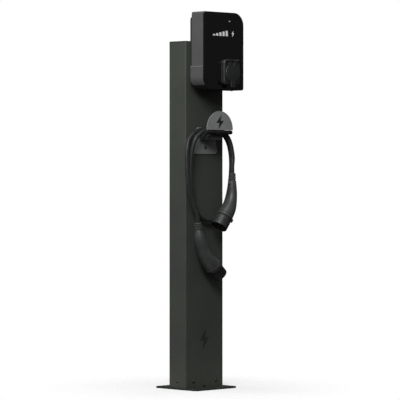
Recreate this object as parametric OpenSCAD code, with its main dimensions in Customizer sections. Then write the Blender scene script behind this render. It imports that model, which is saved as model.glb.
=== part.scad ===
/* [Post] */
// Width of the column
post_w = 178; // [150:1:215]
// Depth of the column
post_d = 80; // [76:1:100]
// Height of the top of the column cap above the floor
post_h = 1170; // [960:1:1420]
// Thickness of the folded sheet
sheet = 3; // [2:0.5:4]
// Outside radius of the folds
fold_r = 4; // [3:0.5:6]

/* [Base plate] */
// How far the square base plate reaches past the column's sides
plate_margin = 9; // [6:1:30]
// Thickness of the base plate
plate_t = 6; // [5:1:10]
// Radius of the plate's corners
plate_r = 9; // [5:1:15]
// Distance of the anchor holes from the plate's edges
anchor_inset = 23; // [19:1:27]
// Diameter of the anchor holes
anchor_d = 14; // [11:1:16]
// Diameter of the supply cable's hole
entry_d = 46; // [25:1:50]

/* [Charger] */
// Width of the charger
charger_w = 190; // [186:1:228]
// Height of the charger
charger_h = 260; // [245:1:312]
// How far the charger's underside lies below the top of the post
charger_drop = 164.5; // [150:0.5:190]
// Radius of the two large corners
big_r = 43; // [36:1:50]
// Radius of the two small corners
small_r = 7.5; // [7.5:0.5:12]
// How far the narrow rear part lies inside the shell on each side
rear_in = 25; // [24:1:28]
// Distance from the post to the back of the wide shell
rear_depth = 35; // [29:1:42]
// Depth of the wide shell behind the front panel
shell_depth = 53; // [45:1:60]
// Thickness of the front panel
panel_t = 4; // [3:0.5:5]
// Wall of the mouldings
wall = 3; // [2:0.5:4]
// Height of the lower cover
cover_h = 79; // [70:1:85]
// How far the lower cover stands proud of the shell
cover_proud = 1; // [0.5:0.5:2]

/* [Socket] */
// Distance of the socket to the right of the middle
socket_x = 22; // [10:1:28]
// Height of the socket's axis above the charger's underside
socket_up = 56.5; // [54:0.5:60]
// Bore of the socket
socket_d = 56; // [46.5:0.5:58]
// Wall round the bore
socket_wall = 5; // [4:0.5:6]
// How far the socket block stands out
block_depth = 18; // [15:1:22]
// Diameter of the flap
flap_d = 67; // [56:1:72]
// Thickness of the flap
flap_t = 6; // [5:0.5:8]
// Diameter of the hinge pin
pin_d = 3; // [2.5:0.1:3.6]
// Diameter of the lock pin
lock_d = 4; // [3.5:0.1:4.8]

/* [Cable holder] */
// Width of the round front plate
hook_w = 122; // [104:1:146]
// Radius of the drum that carries the cable
drum_r = 26; // [22:1:28]
// Thickness of the holder's plates
hook_t = 3; // [2:0.5:4]
// Gap for the cable between the post and the front plate
hook_gap = 71; // [68:1:80]

/* [Cable and plugs] */
// Diameter of the charging cable
cable_d = 14; // [11:0.5:16]
// Wall of the plugs' collars
collar_wall = 3; // [2:0.5:3.5]
// Diameter of the first plug at its seal ring
plug_1_d = 57; // [50:1:58]
// Diameter of the second plug at its seal ring
plug_2_d = 61; // [52:1:62]

/* [Hidden] */
$fn = 64;
e = 0.01;
// assembly gap between pieces that are fitted together
fit = 0.3;
// radial clearance round a fixed shank
slip = 0.1;
// radial clearance of a turning or sliding pin
run = 0.05;
// gap that keeps two turned faces from cutting each other
seat = 0.02;
// depth of the inlaid marks
mark_t = 0.4;

// post
plate_w = post_w + 2 * plate_margin;
anchor_pitch = plate_w - 2 * anchor_inset;
front_y = -post_d / 2;
back_y = post_d / 2;
rail_t = 2;
rail_w = 20;
lip_w = 12;
base_socket_h = 50;
base_socket_t = 4;
socket_w_out = post_w - 2 * sheet - 2 * fit;
socket_y0 = front_y + sheet + fit;
socket_y1 = back_y - sheet - rail_t - fit;
base_screw_x = post_w / 2 - 35;
base_screw_z = 28;
screw_d = 6;
drain_r = 6;
lid_t = 2.2;
lid_gap = 0.8;
column_top = post_h - lid_t - lid_gap;
slot_half = post_w / 2 - sheet - lip_w;
cover_screw_x = slot_half - 4;
cover_screw_zs = [70, (column_top + 70) / 2 - 15, column_top - 100];
cover_screw_d = 5;
mark_z = 167;
mark_h = 78;

// charger, all depths measured forwards from the post
charger_z = post_h - charger_drop;
rear_w = charger_w - 2 * rear_in;
bracket_t = 3;
housing_y = front_y - bracket_t;
shell_y = front_y - rear_depth;
panel_y = shell_y - shell_depth;
face_y = panel_y - panel_t;
charger_top = charger_z + charger_h;
seam_z = charger_z + cover_h;
lower_gap = wall + 0.2;
flange_in = lower_gap + wall + 0.4;
rear_z0 = charger_z + 16.5;
rear_z1 = charger_top - 15.5;
rear_r = 8;
seal_t = 2;
ledge_in = 22;
bolt_x = rear_w / 2 - 20;
bolt_zs = [charger_z + 34.5, charger_z + 124.5];
case_screw_x = charger_w / 2 - 16;
case_screw_zs = [charger_z + 38, charger_z + 130, charger_z + 222];
case_screw_d = 4;
gland_d = 25;
gland_x = -rear_w / 2 + 32;
gland_z = charger_z + 82;
cover_screw_xs = [-12, charger_w / 2 - 25];
cover_screw_y = shell_y - shell_depth / 2 + 1.5;
lens_x = 27.2;
lens_z = charger_top - 30;
lens_d = 5;
icon_x = 42.8;
icon_z = charger_top - 71;
board_y = shell_y - 22;
board_t = 1.6;
board_x = rear_w / 2 - 12;
board_z0 = seam_z + 41;
board_z1 = charger_top - 24;
standoff_d = 7;

// socket and flap
socket_z = charger_z + socket_up;
tube_r = socket_d / 2 + socket_wall;
tube_end = shell_y - 13;
floor_t = 4;
block_w = 76;
block_down = 40;
block_up = 45;
block_r = 12;
gasket_t = 1;
block_y = face_y - gasket_t;
block_front = face_y - block_depth;
block_screw_x = 31;
block_screw_dz = [-34, 38];
insert_r = socket_d / 2 - 0.2;
boss_r = socket_d / 2 - 6;
contact_r = 3.5;
pilot_r = 2;
flap_gap = 1;
flap_back = block_front - flap_gap;
flap_front = flap_back - flap_t;
hinge_y = block_front - 4;
hinge_z = socket_z + flap_d / 2 + 8;
knuckle_r = 4;
barrel_r = 3.3;
knuckle_w = 8;
barrel_gap = 0.3;
barrel_x = 20;
spring_half = 6;
tab_w = 22;
tab_drop = 16;
lock_travel = 6;
lock_y = tube_end - 20;
lock_boss_h = 9;

// cable holder
hook_z = post_h - 313;
hook_r = hook_w / 2;
hook_straight = 17;
hook_bend = 11;
plate_y = front_y - hook_t;
hook_back = front_y - hook_gap;
hook_front = hook_back - hook_t;
drum_z = hook_z - 15;
drum_flat = 4;
holder_screw_z = hook_z - 44;

// cable: route points, from the second plug's boot to the first plug's boot, set out for
// a post 1170 high and 80 deep and moved with the holder
route_move = [0, front_y + 40, post_h - 1170];
cable_pts = [[-66, -75, 561], [-69, -75, 585], [-78, -71, 612], [-94, -66, 663],
    [-103, -64, 710], [-105, -62, 760], [-102, -60, 805], [-88, -58, 843], [-52, -58, 868],
    [0, -58, 876], [50, -60, 868], [85, -63, 838], [100, -66, 785], [99, -66, 715],
    [85, -63, 642], [54, -57, 588], [6, -55, 567], [-34, -56, 581], [-62, -59, 616],
    [-79, -62, 663], [-88, -64, 710], [-90, -66, 760], [-87, -71, 810], [-74, -77, 847],
    [-40, -81, 869], [0, -82, 876], [42, -86, 867], [68, -92, 836], [78, -97, 785],
    [75, -98, 750], [75, -98, 727]];
cable_sides = 10;
cable_steps = 2;
// how far the cable runs on inside each handle, past its boot
cable_in = 50;
cable_in_steps = 4;
// clearance of the cable in a handle
way_fit = 0.9;

// plugs: place, tilt, straight, turn and final straight of each handle's middle line
plug_1 = cable_pts[len(cable_pts) - 1] + route_move;
plug_2 = cable_pts[0] + route_move;
p1_bend = [0, 58, 110, 37.3, 31];
p2_bend = [-8, 24, 195, -39, 23];
boot_len = 24;
boot_r = 11;
ribs = 3;
p1_radii = [12.5, 14.5, 16, 18, 21.5, 25.5, 27.5, 28];
p2_radii = [12.5, 18, 20.5, 22, 24.5, 27.5, 29.5, 30];
handle_sides = 20;
handle_rings = 18;
seal_w = 3;
p1_collar_len = 36;
p2_collar_len = 32;
p2_collar_r = 26;

function along(a, s) = let(
    bend = abs(a[2] * a[3] * PI / 180),
    s1 = min(s, a[1]),
    s2 = min(max(s - a[1], 0), bend),
    s3 = max(s - a[1] - bend, 0),
    turned = bend > 0 ? a[3] * s2 / bend : 0,
    side = a[3] < 0 ? 1 : -1,
    x1 = -sin(a[0]) * s1,
    z1 = -cos(a[0]) * s1,
    x2 = side * a[2] * (cos(a[0]) - cos(a[0] + turned)),
    z2 = -a[2] * abs(sin(a[0] + turned) - sin(a[0])),
    x3 = -sin(a[0] + a[3]) * s3,
    z3 = -cos(a[0] + a[3]) * s3)
    [x1 + x2 + x3, 0, z1 + z2 + z3, a[0] + turned];
function full_len(a) = a[1] + abs(a[2] * a[3] * PI / 180) + a[4];

// --- shared shapes ---
module round_2d(w, d, r) {
    square([w - 2 * r, d], center = true);
    square([w, d - 2 * r], center = true);
    for (sx = [-1, 1], sy = [-1, 1])
        translate([sx * (w / 2 - r), sy * (d / 2 - r)]) circle(r);
}

// a drawing in X and Z, carried from y0 forwards to y1
module deep(y0, y1) {
    translate([0, y0, 0]) rotate([90, 0, 0]) linear_extrude(y0 - y1) children();
}

// rod along Y from y0 forwards to y1
module rod_y(x, z, r, y0, y1) {
    translate([x, y0, z]) rotate([90, 0, 0]) cylinder(r = r, h = y0 - y1);
}

// rod along X from x0 to x1
module rod_x(y, z, r, x0, x1) {
    translate([x0, y, z]) rotate([0, 90, 0]) cylinder(r = r, h = x1 - x0);
}

// outline with its own radius at each corner: bottom left, bottom right, top right, top left
module four_2d(x0, z0, x1, z1, r) {
    polygon([[x0 + r[0], z0], [x1 - r[1], z0], [x1, z0 + r[1]], [x1, z1 - r[2]],
        [x1 - r[2], z1], [x0 + r[3], z1], [x0, z1 - r[3]], [x0, z0 + r[0]]]);
    translate([x0 + r[0], z0 + r[0]]) circle(r[0]);
    translate([x1 - r[1], z0 + r[1]]) circle(r[1]);
    translate([x1 - r[2], z1 - r[2]]) circle(r[2]);
    translate([x0 + r[3], z1 - r[3]]) circle(r[3]);
}

// the charger's outline, drawn in by inset and out sideways by proud
module shell_2d(inset, proud = 0) {
    big = big_r - inset + proud;
    small = max(small_r - inset + proud, 1);
    four_2d(-charger_w / 2 + inset - proud, charger_z + inset, charger_w / 2 - inset + proud,
        charger_top - inset, [big, small, big, small]);
}

// button-head screw along +Z, with its shank below the head
module button_screw(d, len) {
    difference() {
        union() {
            cylinder(r = d * 0.9, h = d * 0.3);
            translate([0, 0, d * 0.3]) cylinder(r1 = d * 0.9, r2 = d * 0.55, h = d * 0.25);
            translate([0, 0, -len]) cylinder(r = d / 2, h = len + e);
        }
        translate([0, 0, d * 0.25]) cylinder(r = d * 0.3, h = d, $fn = 6);
    }
}

module hex_nut(d, h) {
    difference() {
        cylinder(r = d * 0.95, h = h, $fn = 6);
        translate([0, 0, -1]) cylinder(r = d / 2 + slip, h = h + 2);
    }
}

// generic charging flash, h high, centred
module flash_2d(h) {
    s = h / 10;
    polygon([[1.2 * s, 5 * s], [-2.7 * s, -0.6 * s], [-0.4 * s, -0.6 * s], [-1.2 * s, -5 * s],
        [2.7 * s, 0.9 * s], [0.4 * s, 0.9 * s]]);
}

// --- post ---
module base_plate() {
    color("#3b3f3b") difference() {
        linear_extrude(plate_t) round_2d(plate_w, plate_w, plate_r);
        for (sx = [-1, 1], sy = [-1, 1])
            translate([sx, sy, 0] * anchor_pitch / 2 + [0, 0, -1])
                cylinder(r = anchor_d / 2, h = plate_t + 2);
        translate([0, 0, -1]) cylinder(r = entry_d / 2, h = plate_t + 2);
    }
}

module base_socket() {
    inner_d = socket_y1 - socket_y0 - 2 * base_socket_t;
    color("#4a4e4a") difference() {
        translate([0, (socket_y0 + socket_y1) / 2, plate_t]) linear_extrude(base_socket_h)
            difference() {
                square([socket_w_out, socket_y1 - socket_y0], center = true);
                square([socket_w_out - 2 * base_socket_t, inner_d], center = true);
            }
        for (s = [-1, 1])
            rod_y(s * base_screw_x, base_screw_z, screw_d / 2 + slip, 0, front_y);
        rod_x(0, base_screw_z, screw_d / 2 + slip, -post_w / 2, post_w / 2);
    }
}

module weld_nuts() {
    color("#b9bbb6") {
        for (s = [-1, 1]) {
            translate([s * base_screw_x, socket_y0 + base_socket_t, base_screw_z])
                rotate([-90, 0, 0]) hex_nut(screw_d, 5);
            translate([s * (socket_w_out / 2 - base_socket_t), 0, base_screw_z])
                rotate([0, -s * 90, 0]) hex_nut(screw_d, 5);
        }
    }
}

module earth_stud() {
    stud_at = [52, 8, plate_t];
    color("#c9b26a") translate(stud_at) {
        cylinder(r = 4, h = 28);
        cylinder(r = 8, h = 1.6);
        translate([0, 0, 10]) cylinder(r = 7.2, h = 6, $fn = 6);
        translate([0, 0, 8.5]) cylinder(r = 8.5, h = 1.5);
    }
}

module column_2d() {
    inner_w = post_w - 2 * sheet;
    difference() {
        round_2d(post_w, post_d, fold_r);
        square([inner_w, post_d - 2 * sheet], center = true);
        translate([-slot_half, 0]) square([2 * slot_half, post_d]);
    }
    for (s = [-1, 1])
        translate([s * (inner_w / 2 - rail_w / 2), back_y - sheet - rail_t / 2])
            square([rail_w, rail_t], center = true);
}

module column() {
    color("#464b47") difference() {
        translate([0, 0, plate_t]) linear_extrude(column_top - plate_t) column_2d();
        for (s = [-1, 1])
            rod_y(s * base_screw_x, base_screw_z, screw_d / 2 + slip, 0, front_y - 1);
        rod_x(0, base_screw_z, screw_d / 2 + slip, -post_w, post_w);
        rod_y(0, plate_t, drain_r, 0, front_y - 1);
        for (s = [-1, 1], z = bolt_zs) rod_y(s * bolt_x, z, screw_d / 2 + slip, 0, front_y - 1);
        rod_y(gland_x, gland_z, gland_d / 2 + slip, 0, front_y - 1);
        rod_y(0, holder_screw_z, screw_d / 2 + slip, 0, front_y - 1);
        for (s = [-1, 1], z = cover_screw_zs)
            rod_y(s * cover_screw_x, z, cover_screw_d / 2 + slip, back_y, 0);
        deep(front_y + mark_t, front_y - 1) translate([0, mark_z]) flash_2d(mark_h);
    }
}

module post_mark() {
    color("#a9ada8") deep(front_y + mark_t, front_y) translate([0, mark_z])
        flash_2d(mark_h - 2 * slip);
}

module rear_cover() {
    z0 = plate_t + 2;
    z1 = column_top - 0.5;
    color("#3f4440") difference() {
        translate([-slot_half + fit, back_y - sheet, z0]) cube([2 * (slot_half - fit), sheet, z1 - z0]);
        for (s = [-1, 1], z = cover_screw_zs)
            rod_y(s * cover_screw_x, z, cover_screw_d / 2 + slip, back_y + 1, 0);
    }
}

module rear_cover_screws() {
    color("#c4c6c1") for (s = [-1, 1], z = cover_screw_zs)
        translate([s * cover_screw_x, back_y, z]) rotate([-90, 0, 0]) button_screw(cover_screw_d, 9);
}

module column_cap() {
    skirt_w = post_w - 2 * sheet - 2 * fit;
    skirt_y0 = front_y + sheet + fit;
    skirt_y1 = back_y - sheet - rail_t - fit;
    color("#3c403d") {
        translate([0, 0, post_h - lid_t]) linear_extrude(lid_t) round_2d(post_w, post_d, fold_r);
        translate([0, 0, column_top]) linear_extrude(lid_gap + e)
            round_2d(post_w - 2, post_d - 2, fold_r - 1);
        translate([-skirt_w / 2, skirt_y0, column_top - 14])
            difference() {
                cube([skirt_w, skirt_y1 - skirt_y0, 14 + e]);
                translate([2, 2, -1]) cube([skirt_w - 4, skirt_y1 - skirt_y0 - 4, 15]);
            }
    }
}

module column_screws() {
    color("#c8cac6") for (s = [-1, 1]) {
        translate([s * base_screw_x, front_y, base_screw_z]) rotate([90, 0, 0])
            button_screw(screw_d, 14);
        translate([s * post_w / 2, 0, base_screw_z]) rotate([0, s * 90, 0])
            button_screw(screw_d, 14);
    }
}

// --- charger ---
module wall_bracket() {
    color("#9a9d99") difference() {
        deep(front_y, housing_y) four_2d(-rear_w / 2 + 5, rear_z0 + 5, rear_w / 2 - 5,
            post_h - 8, [6, 6, 6, 6]);
        for (s = [-1, 1], z = bolt_zs) rod_y(s * bolt_x, z, screw_d / 2 + slip, 0, housing_y - 1);
        rod_y(gland_x, gland_z, gland_d / 2 + slip, 0, housing_y - 1);
    }
}

module bracket_bolts() {
    color("#c4c6c1") for (s = [-1, 1], z = bolt_zs) {
        translate([s * bolt_x, housing_y - wall, z]) rotate([90, 0, 0])
            button_screw(screw_d, 18);
        translate([s * bolt_x, front_y + sheet, z]) rotate([-90, 0, 0]) hex_nut(screw_d, 5);
    }
}

module rear_2d(inset) {
    four_2d(-rear_w / 2 + inset, rear_z0 + inset, rear_w / 2 - inset, rear_z1 - inset,
        [1, 1, 1, 1] * (rear_r - inset));
}

module rear_housing() {
    color("#3a3c3b") difference() {
        union() {
            deep(housing_y, shell_y - wall) rear_2d(0);
            deep(shell_y, shell_y - wall) shell_2d(flange_in);
        }
        deep(housing_y - wall, shell_y - wall - 1) rear_2d(wall);
        for (s = [-1, 1], z = bolt_zs)
            rod_y(s * bolt_x, z, screw_d / 2 + slip, 0, housing_y - wall - 1);
        rod_y(gland_x, gland_z, gland_d / 2 + slip, 0, housing_y - wall - 1);
        for (s = [-1, 1], z = case_screw_zs)
            rod_y(s * case_screw_x, z, case_screw_d / 2 + slip, 0, shell_y - wall - 1);
    }
}

module housing_seal() {
    y0 = shell_y - wall;
    color("#1c1c1c") difference() {
        deep(y0, y0 - seal_t) shell_2d(flange_in + 1);
        deep(y0 + 1, y0 - seal_t - 1) shell_2d(flange_in + 4);
    }
}

module main_housing() {
    ledge_y = shell_y - wall - seal_t;
    color("#56595a") difference() {
        union() {
            difference() {
                deep(shell_y, panel_y) shell_2d(0);
                difference() {
                    translate([-charger_w, panel_y - 1, 0]) cube([2 * charger_w, shell_depth + 2, seam_z]);
                    deep(shell_y + 1, panel_y - 1) shell_2d(lower_gap);
                }
                deep(shell_y + 1, panel_y + wall) shell_2d(lower_gap + wall);
                intersection() {
                    deep(shell_y + 1, panel_y + wall) shell_2d(wall);
                    translate([-charger_w, panel_y, seam_z + wall])
                        cube([2 * charger_w, shell_depth + 2, charger_h]);
                }
            }
            difference() {
                deep(ledge_y, ledge_y - wall) shell_2d(wall + 0.5);
                deep(ledge_y + 1, ledge_y - wall - 1) shell_2d(ledge_in);
                translate([-charger_w, ledge_y - wall - 1, 0])
                    cube([2 * charger_w, wall + 2, charger_z + lower_gap + e]);
                difference() {
                    translate([-charger_w, ledge_y - wall - 1, 0])
                        cube([2 * charger_w, wall + 2, seam_z]);
                    deep(ledge_y + 2, ledge_y - wall - 2) shell_2d(lower_gap + 0.5);
                }
            }
            for (s = [-1, 1], z = case_screw_zs)
                rod_y(s * case_screw_x, z, 4.5, ledge_y - wall + e, ledge_y - 16);
            for (x = cover_screw_xs)
                translate([x, cover_screw_y, charger_z + lower_gap + 1]) cylinder(r = 4.5, h = 12);
        }
        for (s = [-1, 1], z = case_screw_zs)
            rod_y(s * case_screw_x, z, case_screw_d / 2 + slip, ledge_y + 1, ledge_y - 15);
        for (x = cover_screw_xs)
            translate([x, cover_screw_y, charger_z]) cylinder(r = case_screw_d / 2 + slip, h = 14);
        rod_y(socket_x, socket_z, tube_r + fit, panel_y + wall + 1, panel_y - 1);
        rod_y(lens_x, lens_z, lens_d / 2 + slip, panel_y + wall + 1, panel_y - 1);
        for (s = [-1, 1], dz = block_screw_dz)
            rod_y(socket_x + s * block_screw_x, socket_z + dz, case_screw_d / 2 + slip,
                panel_y + wall + 1, panel_y - 1);
    }
}

module lower_cover() {
    color("#4c4f50") difference() {
        intersection() {
            deep(shell_y + 5, panel_y) shell_2d(0, cover_proud);
            translate([-charger_w, panel_y - 1, 0]) cube([2 * charger_w, charger_w, seam_z - 0.4]);
        }
        deep(shell_y + 6, panel_y - 1) shell_2d(wall);
        for (x = cover_screw_xs)
            translate([x, cover_screw_y, charger_z - 1])
                cylinder(r = case_screw_d / 2 + slip, h = 10);
    }
}

module cover_screws() {
    color("#7c7f7d") for (x = cover_screw_xs)
        translate([x, cover_screw_y, charger_z]) rotate([180, 0, 0])
            button_screw(case_screw_d, 12);
}

module housing_screws() {
    color("#b9bbb6") for (s = [-1, 1], z = case_screw_zs)
        translate([s * case_screw_x, shell_y, z]) rotate([-90, 0, 0])
            button_screw(case_screw_d, 18);
}

// five level bars and a flash, as a generic sign for charging
module charge_2d(inset) {
    for (k = [0:4])
        translate([-51 + k * 15, icon_z - 9 + inset])
            square([10 - inset, 6 + k * 3 - 2 * inset]);
    translate([icon_x, icon_z]) flash_2d(24 - 2 * inset);
}

module front_panel() {
    color("#17181a") difference() {
        deep(panel_y, face_y) shell_2d(0);
        rod_y(socket_x, socket_z, tube_r + fit, 0, face_y - 1);
        rod_y(lens_x, lens_z, lens_d / 2 + slip, 0, face_y - 1);
        for (s = [-1, 1], dz = block_screw_dz)
            rod_y(socket_x + s * block_screw_x, socket_z + dz, case_screw_d / 2 + slip, 0,
                face_y - 1);
        deep(face_y + mark_t, face_y - 1) charge_2d(0);
    }
}

module charge_mark() {
    color("#e8eaea") deep(face_y + mark_t, face_y) charge_2d(slip);
}

module status_lens() {
    color("#cfe8d4") {
        rod_y(lens_x, lens_z, lens_d / 2, panel_y + wall + 1, face_y);
        rod_y(lens_x, lens_z, lens_d / 2 + 1.5, panel_y + wall + 2.5, panel_y + wall);
    }
}

module control_board() {
    color("#1f5a35") difference() {
        translate([-board_x, board_y - board_t, board_z0])
            cube([2 * board_x, board_t, board_z1 - board_z0]);
        for (s = [-1, 1], z = [board_z0 + 7, board_z1 - 7])
            rod_y(s * (board_x - 6), z, 1.5 + slip, 0, face_y);
    }
}

module board_standoffs() {
    color("#c8a953") for (s = [-1, 1], z = [board_z0 + 7, board_z1 - 7]) {
        rod_y(s * (board_x - 6), z, standoff_d / 2, board_y - board_t, panel_y + wall);
        rod_y(s * (board_x - 6), z, 1.5, board_y, board_y - board_t - e);
        rod_y(s * (board_x - 6), z, 3, board_y + 2, board_y);
    }
}

module relays() {
    color("#2a4f8f") for (k = [0, 1])
        translate([-board_x + 14 + k * 24, board_y - board_t - 18, board_z0 + 16]) cube([20, 18, 30]);
}

module power_supply() {
    color("#26292b") translate([board_x - 52, board_y - board_t - 18, board_z0 + 16]) cube([34, 18, 46]);
}

module leakage_sensor() {
    color("#d9d9d2") difference() {
        rod_y(-25, board_z0 + 66, 13, board_y - board_t, board_y - board_t - 14);
        rod_y(-25, board_z0 + 66, 6, 0, face_y);
    }
}

module card_reader() {
    color("#24633d") translate([-24, panel_y + wall, icon_z - 16]) cube([48, 1.6, 40]);
}

module terminal_block() {
    count = 5;
    pitch = 10;
    color("#8b8f8c") difference() {
        translate([-gland_d, housing_y - wall - 22, rear_z0 + wall + 4])
            cube([count * pitch + 4, 22, 28]);
        for (k = [0:count - 1])
            rod_y(-gland_d + 7 + k * pitch, rear_z0 + wall + 12, 2.5, housing_y - wall - 8,
                housing_y - wall - 23);
    }
}

module supply_gland() {
    y0 = housing_y - wall;
    color("#23272a") difference() {
        union() {
            rod_y(gland_x, gland_z, gland_d / 2, front_y + 12, y0);
            translate([gland_x, y0, gland_z]) rotate([90, 0, 0]) cylinder(r = 16.5, h = 6, $fn = 6);
            rod_y(gland_x, gland_z, 12, y0 - 5, y0 - 14);
        }
        rod_y(gland_x, gland_z, 8, front_y + 13, y0 - 15);
    }
}

module gland_nut() {
    y0 = front_y + sheet;
    color("#2b2f32") difference() {
        translate([gland_x, y0, gland_z]) rotate([-90, 0, 0]) cylinder(r = 16.5, h = 6, $fn = 6);
        rod_y(gland_x, gland_z, gland_d / 2 + slip, y0 + 7, y0 - 1);
    }
}

// --- socket ---
// the seven contact places of the face, [x, z, big or small]
contact_ring = boss_r / 22;
contact_at = [for (c = [[0, 1.5, 1], [-14, 1.5, 1], [14, 1.5, 1], [-8, -12.5, 1], [8, -12.5, 1],
    [-8, 13, 0], [8, 13, 0]]) [c[0] * contact_ring, c[1] * contact_ring, c[2]]];

module contact_holes(x, z, y0, y1, grow) {
    for (c = contact_at)
        rod_y(x + c[0], z + c[1], (c[2] == 1 ? contact_r : pilot_r) + grow, y0, y1);
}

module socket_housing() {
    color("#2d2f31") difference() {
        union() {
            deep(block_y, block_front)
                four_2d(socket_x - block_w / 2, socket_z - block_down, socket_x + block_w / 2,
                    socket_z + block_up, [1, 1, 1, 1] * block_r);
            rod_y(socket_x, socket_z, tube_r, tube_end, block_y - e);
            translate([socket_x - 7, lock_y - 7, socket_z])
                cube([14, 14, tube_r + lock_boss_h]);
            for (s = [-1, 1]) {
                x0 = barrel_x + s * (20 + knuckle_w / 2) - knuckle_w / 2;
                rod_x(hinge_y, hinge_z, knuckle_r, x0, x0 + knuckle_w);
                translate([x0, hinge_y, hinge_z - knuckle_r])
                    cube([knuckle_w, -hinge_y + block_front + 1, 2 * knuckle_r]);
            }
        }
        rod_y(socket_x, socket_z, socket_d / 2, tube_end - floor_t, block_front - 10);
        rod_y(socket_x, socket_z, boss_r, tube_end + 1, tube_end - floor_t - 1);
        rod_x(hinge_y, hinge_z, pin_d / 2 + run, -charger_w, charger_w);
        translate([socket_x, lock_y, socket_z]) cylinder(r = lock_d / 2 + run, h = 80);
        for (s = [-1, 1], dz = block_screw_dz)
            rod_y(socket_x + s * block_screw_x, socket_z + dz, case_screw_d / 2 + slip,
                block_y + 1, block_y - 12);
    }
}

module socket_gasket() {
    color("#151515") difference() {
        deep(face_y, block_y)
            four_2d(socket_x - block_w / 2 + 1.5, socket_z - block_down + 1.5,
                socket_x + block_w / 2 - 1.5, socket_z + block_up - 1.5,
                [1, 1, 1, 1] * (block_r - 1.5));
        rod_y(socket_x, socket_z, tube_r + fit, 0, block_y - 1);
        for (s = [-1, 1], dz = block_screw_dz)
            rod_y(socket_x + s * block_screw_x, socket_z + dz, case_screw_d / 2 + slip, 0,
                block_y - 1);
    }
}

module socket_insert() {
    y0 = tube_end - floor_t;
    color("#1d1f21") difference() {
        union() {
            rod_y(socket_x, socket_z, insert_r, y0, y0 - 4);
            intersection() {
                rod_y(socket_x, socket_z, boss_r, y0 - 3, block_front + 14);
                translate([-charger_w, -500, socket_z - boss_r])
                    cube([2 * charger_w, 500, 2 * boss_r - 4]);
            }
        }
        contact_holes(socket_x, socket_z, 0, -500, slip);
    }
}

module socket_contacts() {
    color("#d8b25a") for (c = contact_at) difference() {
        r = c[2] == 1 ? contact_r : pilot_r;
        rod_y(socket_x + c[0], socket_z + c[1], r, tube_end + 9, block_front + 16);
        rod_y(socket_x + c[0], socket_z + c[1], r - 0.7, tube_end - 6, block_front + 15);
    }
}

module socket_screws() {
    color("#b9bbb6") for (s = [-1, 1], dz = block_screw_dz)
        translate([socket_x + s * block_screw_x, panel_y + wall, socket_z + dz])
            rotate([-90, 0, 0]) button_screw(case_screw_d, 16);
}

module flap() {
    color("#303234") difference() {
        union() {
            rod_y(socket_x, socket_z, flap_d / 2, flap_back, flap_front);
            translate([socket_x - tab_w / 2, flap_front, socket_z - flap_d / 2 - tab_drop])
                cube([tab_w, 4, tab_drop + 8]);
            for (s = [-1, 1]) {
                x0 = s < 0 ? barrel_x - 20 + barrel_gap : barrel_x + spring_half;
                w = 20 - barrel_gap - spring_half;
                rod_x(hinge_y, hinge_z, barrel_r, x0, x0 + w);
                translate([x0, flap_front, socket_z + flap_d / 2 - 9])
                    cube([w, flap_t - 0.5, hinge_z - socket_z - flap_d / 2 + 9]);
            }
        }
        rod_y(socket_x, socket_z, flap_d / 2 - 5, flap_front + 1.2, flap_front - 1);
        rod_x(hinge_y, hinge_z, pin_d / 2 + run, -charger_w, charger_w);
    }
}

// the seal sits on the back of the flap and stops just short of the block
module flap_seal() {
    color("#121212") difference() {
        rod_y(socket_x, socket_z, socket_d / 2 + 3, block_front - 0.2, flap_back);
        rod_y(socket_x, socket_z, socket_d / 2 + 0.5, block_front + 1, flap_back - 1);
    }
}

module hinge_pin() {
    x0 = barrel_x - 20 - knuckle_w;
    color("#c8cac6") rod_x(hinge_y, hinge_z, pin_d / 2, x0, x0 + 40 + 2 * knuckle_w);
}

module flap_spring() {
    half = spring_half - 0.5;
    color("#a8aaa5") {
        difference() {
            rod_x(hinge_y, hinge_z, pin_d / 2 + 1.1, barrel_x - half, barrel_x + half);
            rod_x(hinge_y, hinge_z, pin_d / 2 + 0.3, barrel_x - 20, barrel_x + 20);
        }
        translate([barrel_x - 1, hinge_y + 1, hinge_z - 7.5]) cube([1, 1, 6]);
    }
}

module lock_actuator() {
    z0 = socket_z + tube_r + lock_boss_h;
    color("#33363a") difference() {
        translate([socket_x - 14, lock_y - 9, z0]) cube([28, 18, 24]);
        translate([socket_x, lock_y, z0 - 1]) cylinder(r = lock_d / 2 + run, h = 22);
    }
}

module lock_pin() {
    z0 = socket_z + socket_d / 2 + 0.5;
    color("#d0d2ce") translate([socket_x, lock_y, z0])
        cylinder(r = lock_d / 2, h = socket_wall + lock_boss_h + 14);
}

// --- cable holder ---
module back_plate_2d() {
    translate([0, hook_z])
        polygon([[-51, -65.5], [51, -65.5], [58, -58], [58, -54], [42, 16], [32, 24], [-32, 24],
            [-42, 16], [-58, -54], [-58, -58]]);
}

module holder_back_plate() {
    color("#686b69") difference() {
        deep(front_y, plate_y) back_plate_2d();
        rod_y(0, holder_screw_z, screw_d / 2 + slip, 0, plate_y - 1);
        for (s = [-1, 1]) rod_y(s * 13, drum_z + 8, case_screw_d / 2 + slip, 0, plate_y - 1);
    }
}

module holder_drum() {
    front = hook_back + hook_bend;
    color("#4b4e4d") difference() {
        union() {
            intersection() {
                rod_y(0, drum_z, drum_r, plate_y, front);
                translate([-100, -200, drum_z - drum_flat]) cube([200, 200, 100]);
            }
            translate([-14, hook_back, hook_z + fit]) cube([28, hook_bend + 1, 9]);
        }
        for (s = [-1, 1]) rod_y(s * 13, drum_z + 8, case_screw_d / 2 + slip, 0, plate_y - 16);
        for (s = [-1, 1])
            rod_y(s * 8, hook_z + 5, case_screw_d / 2 + slip, front + 6, hook_front - 1);
    }
}

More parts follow.
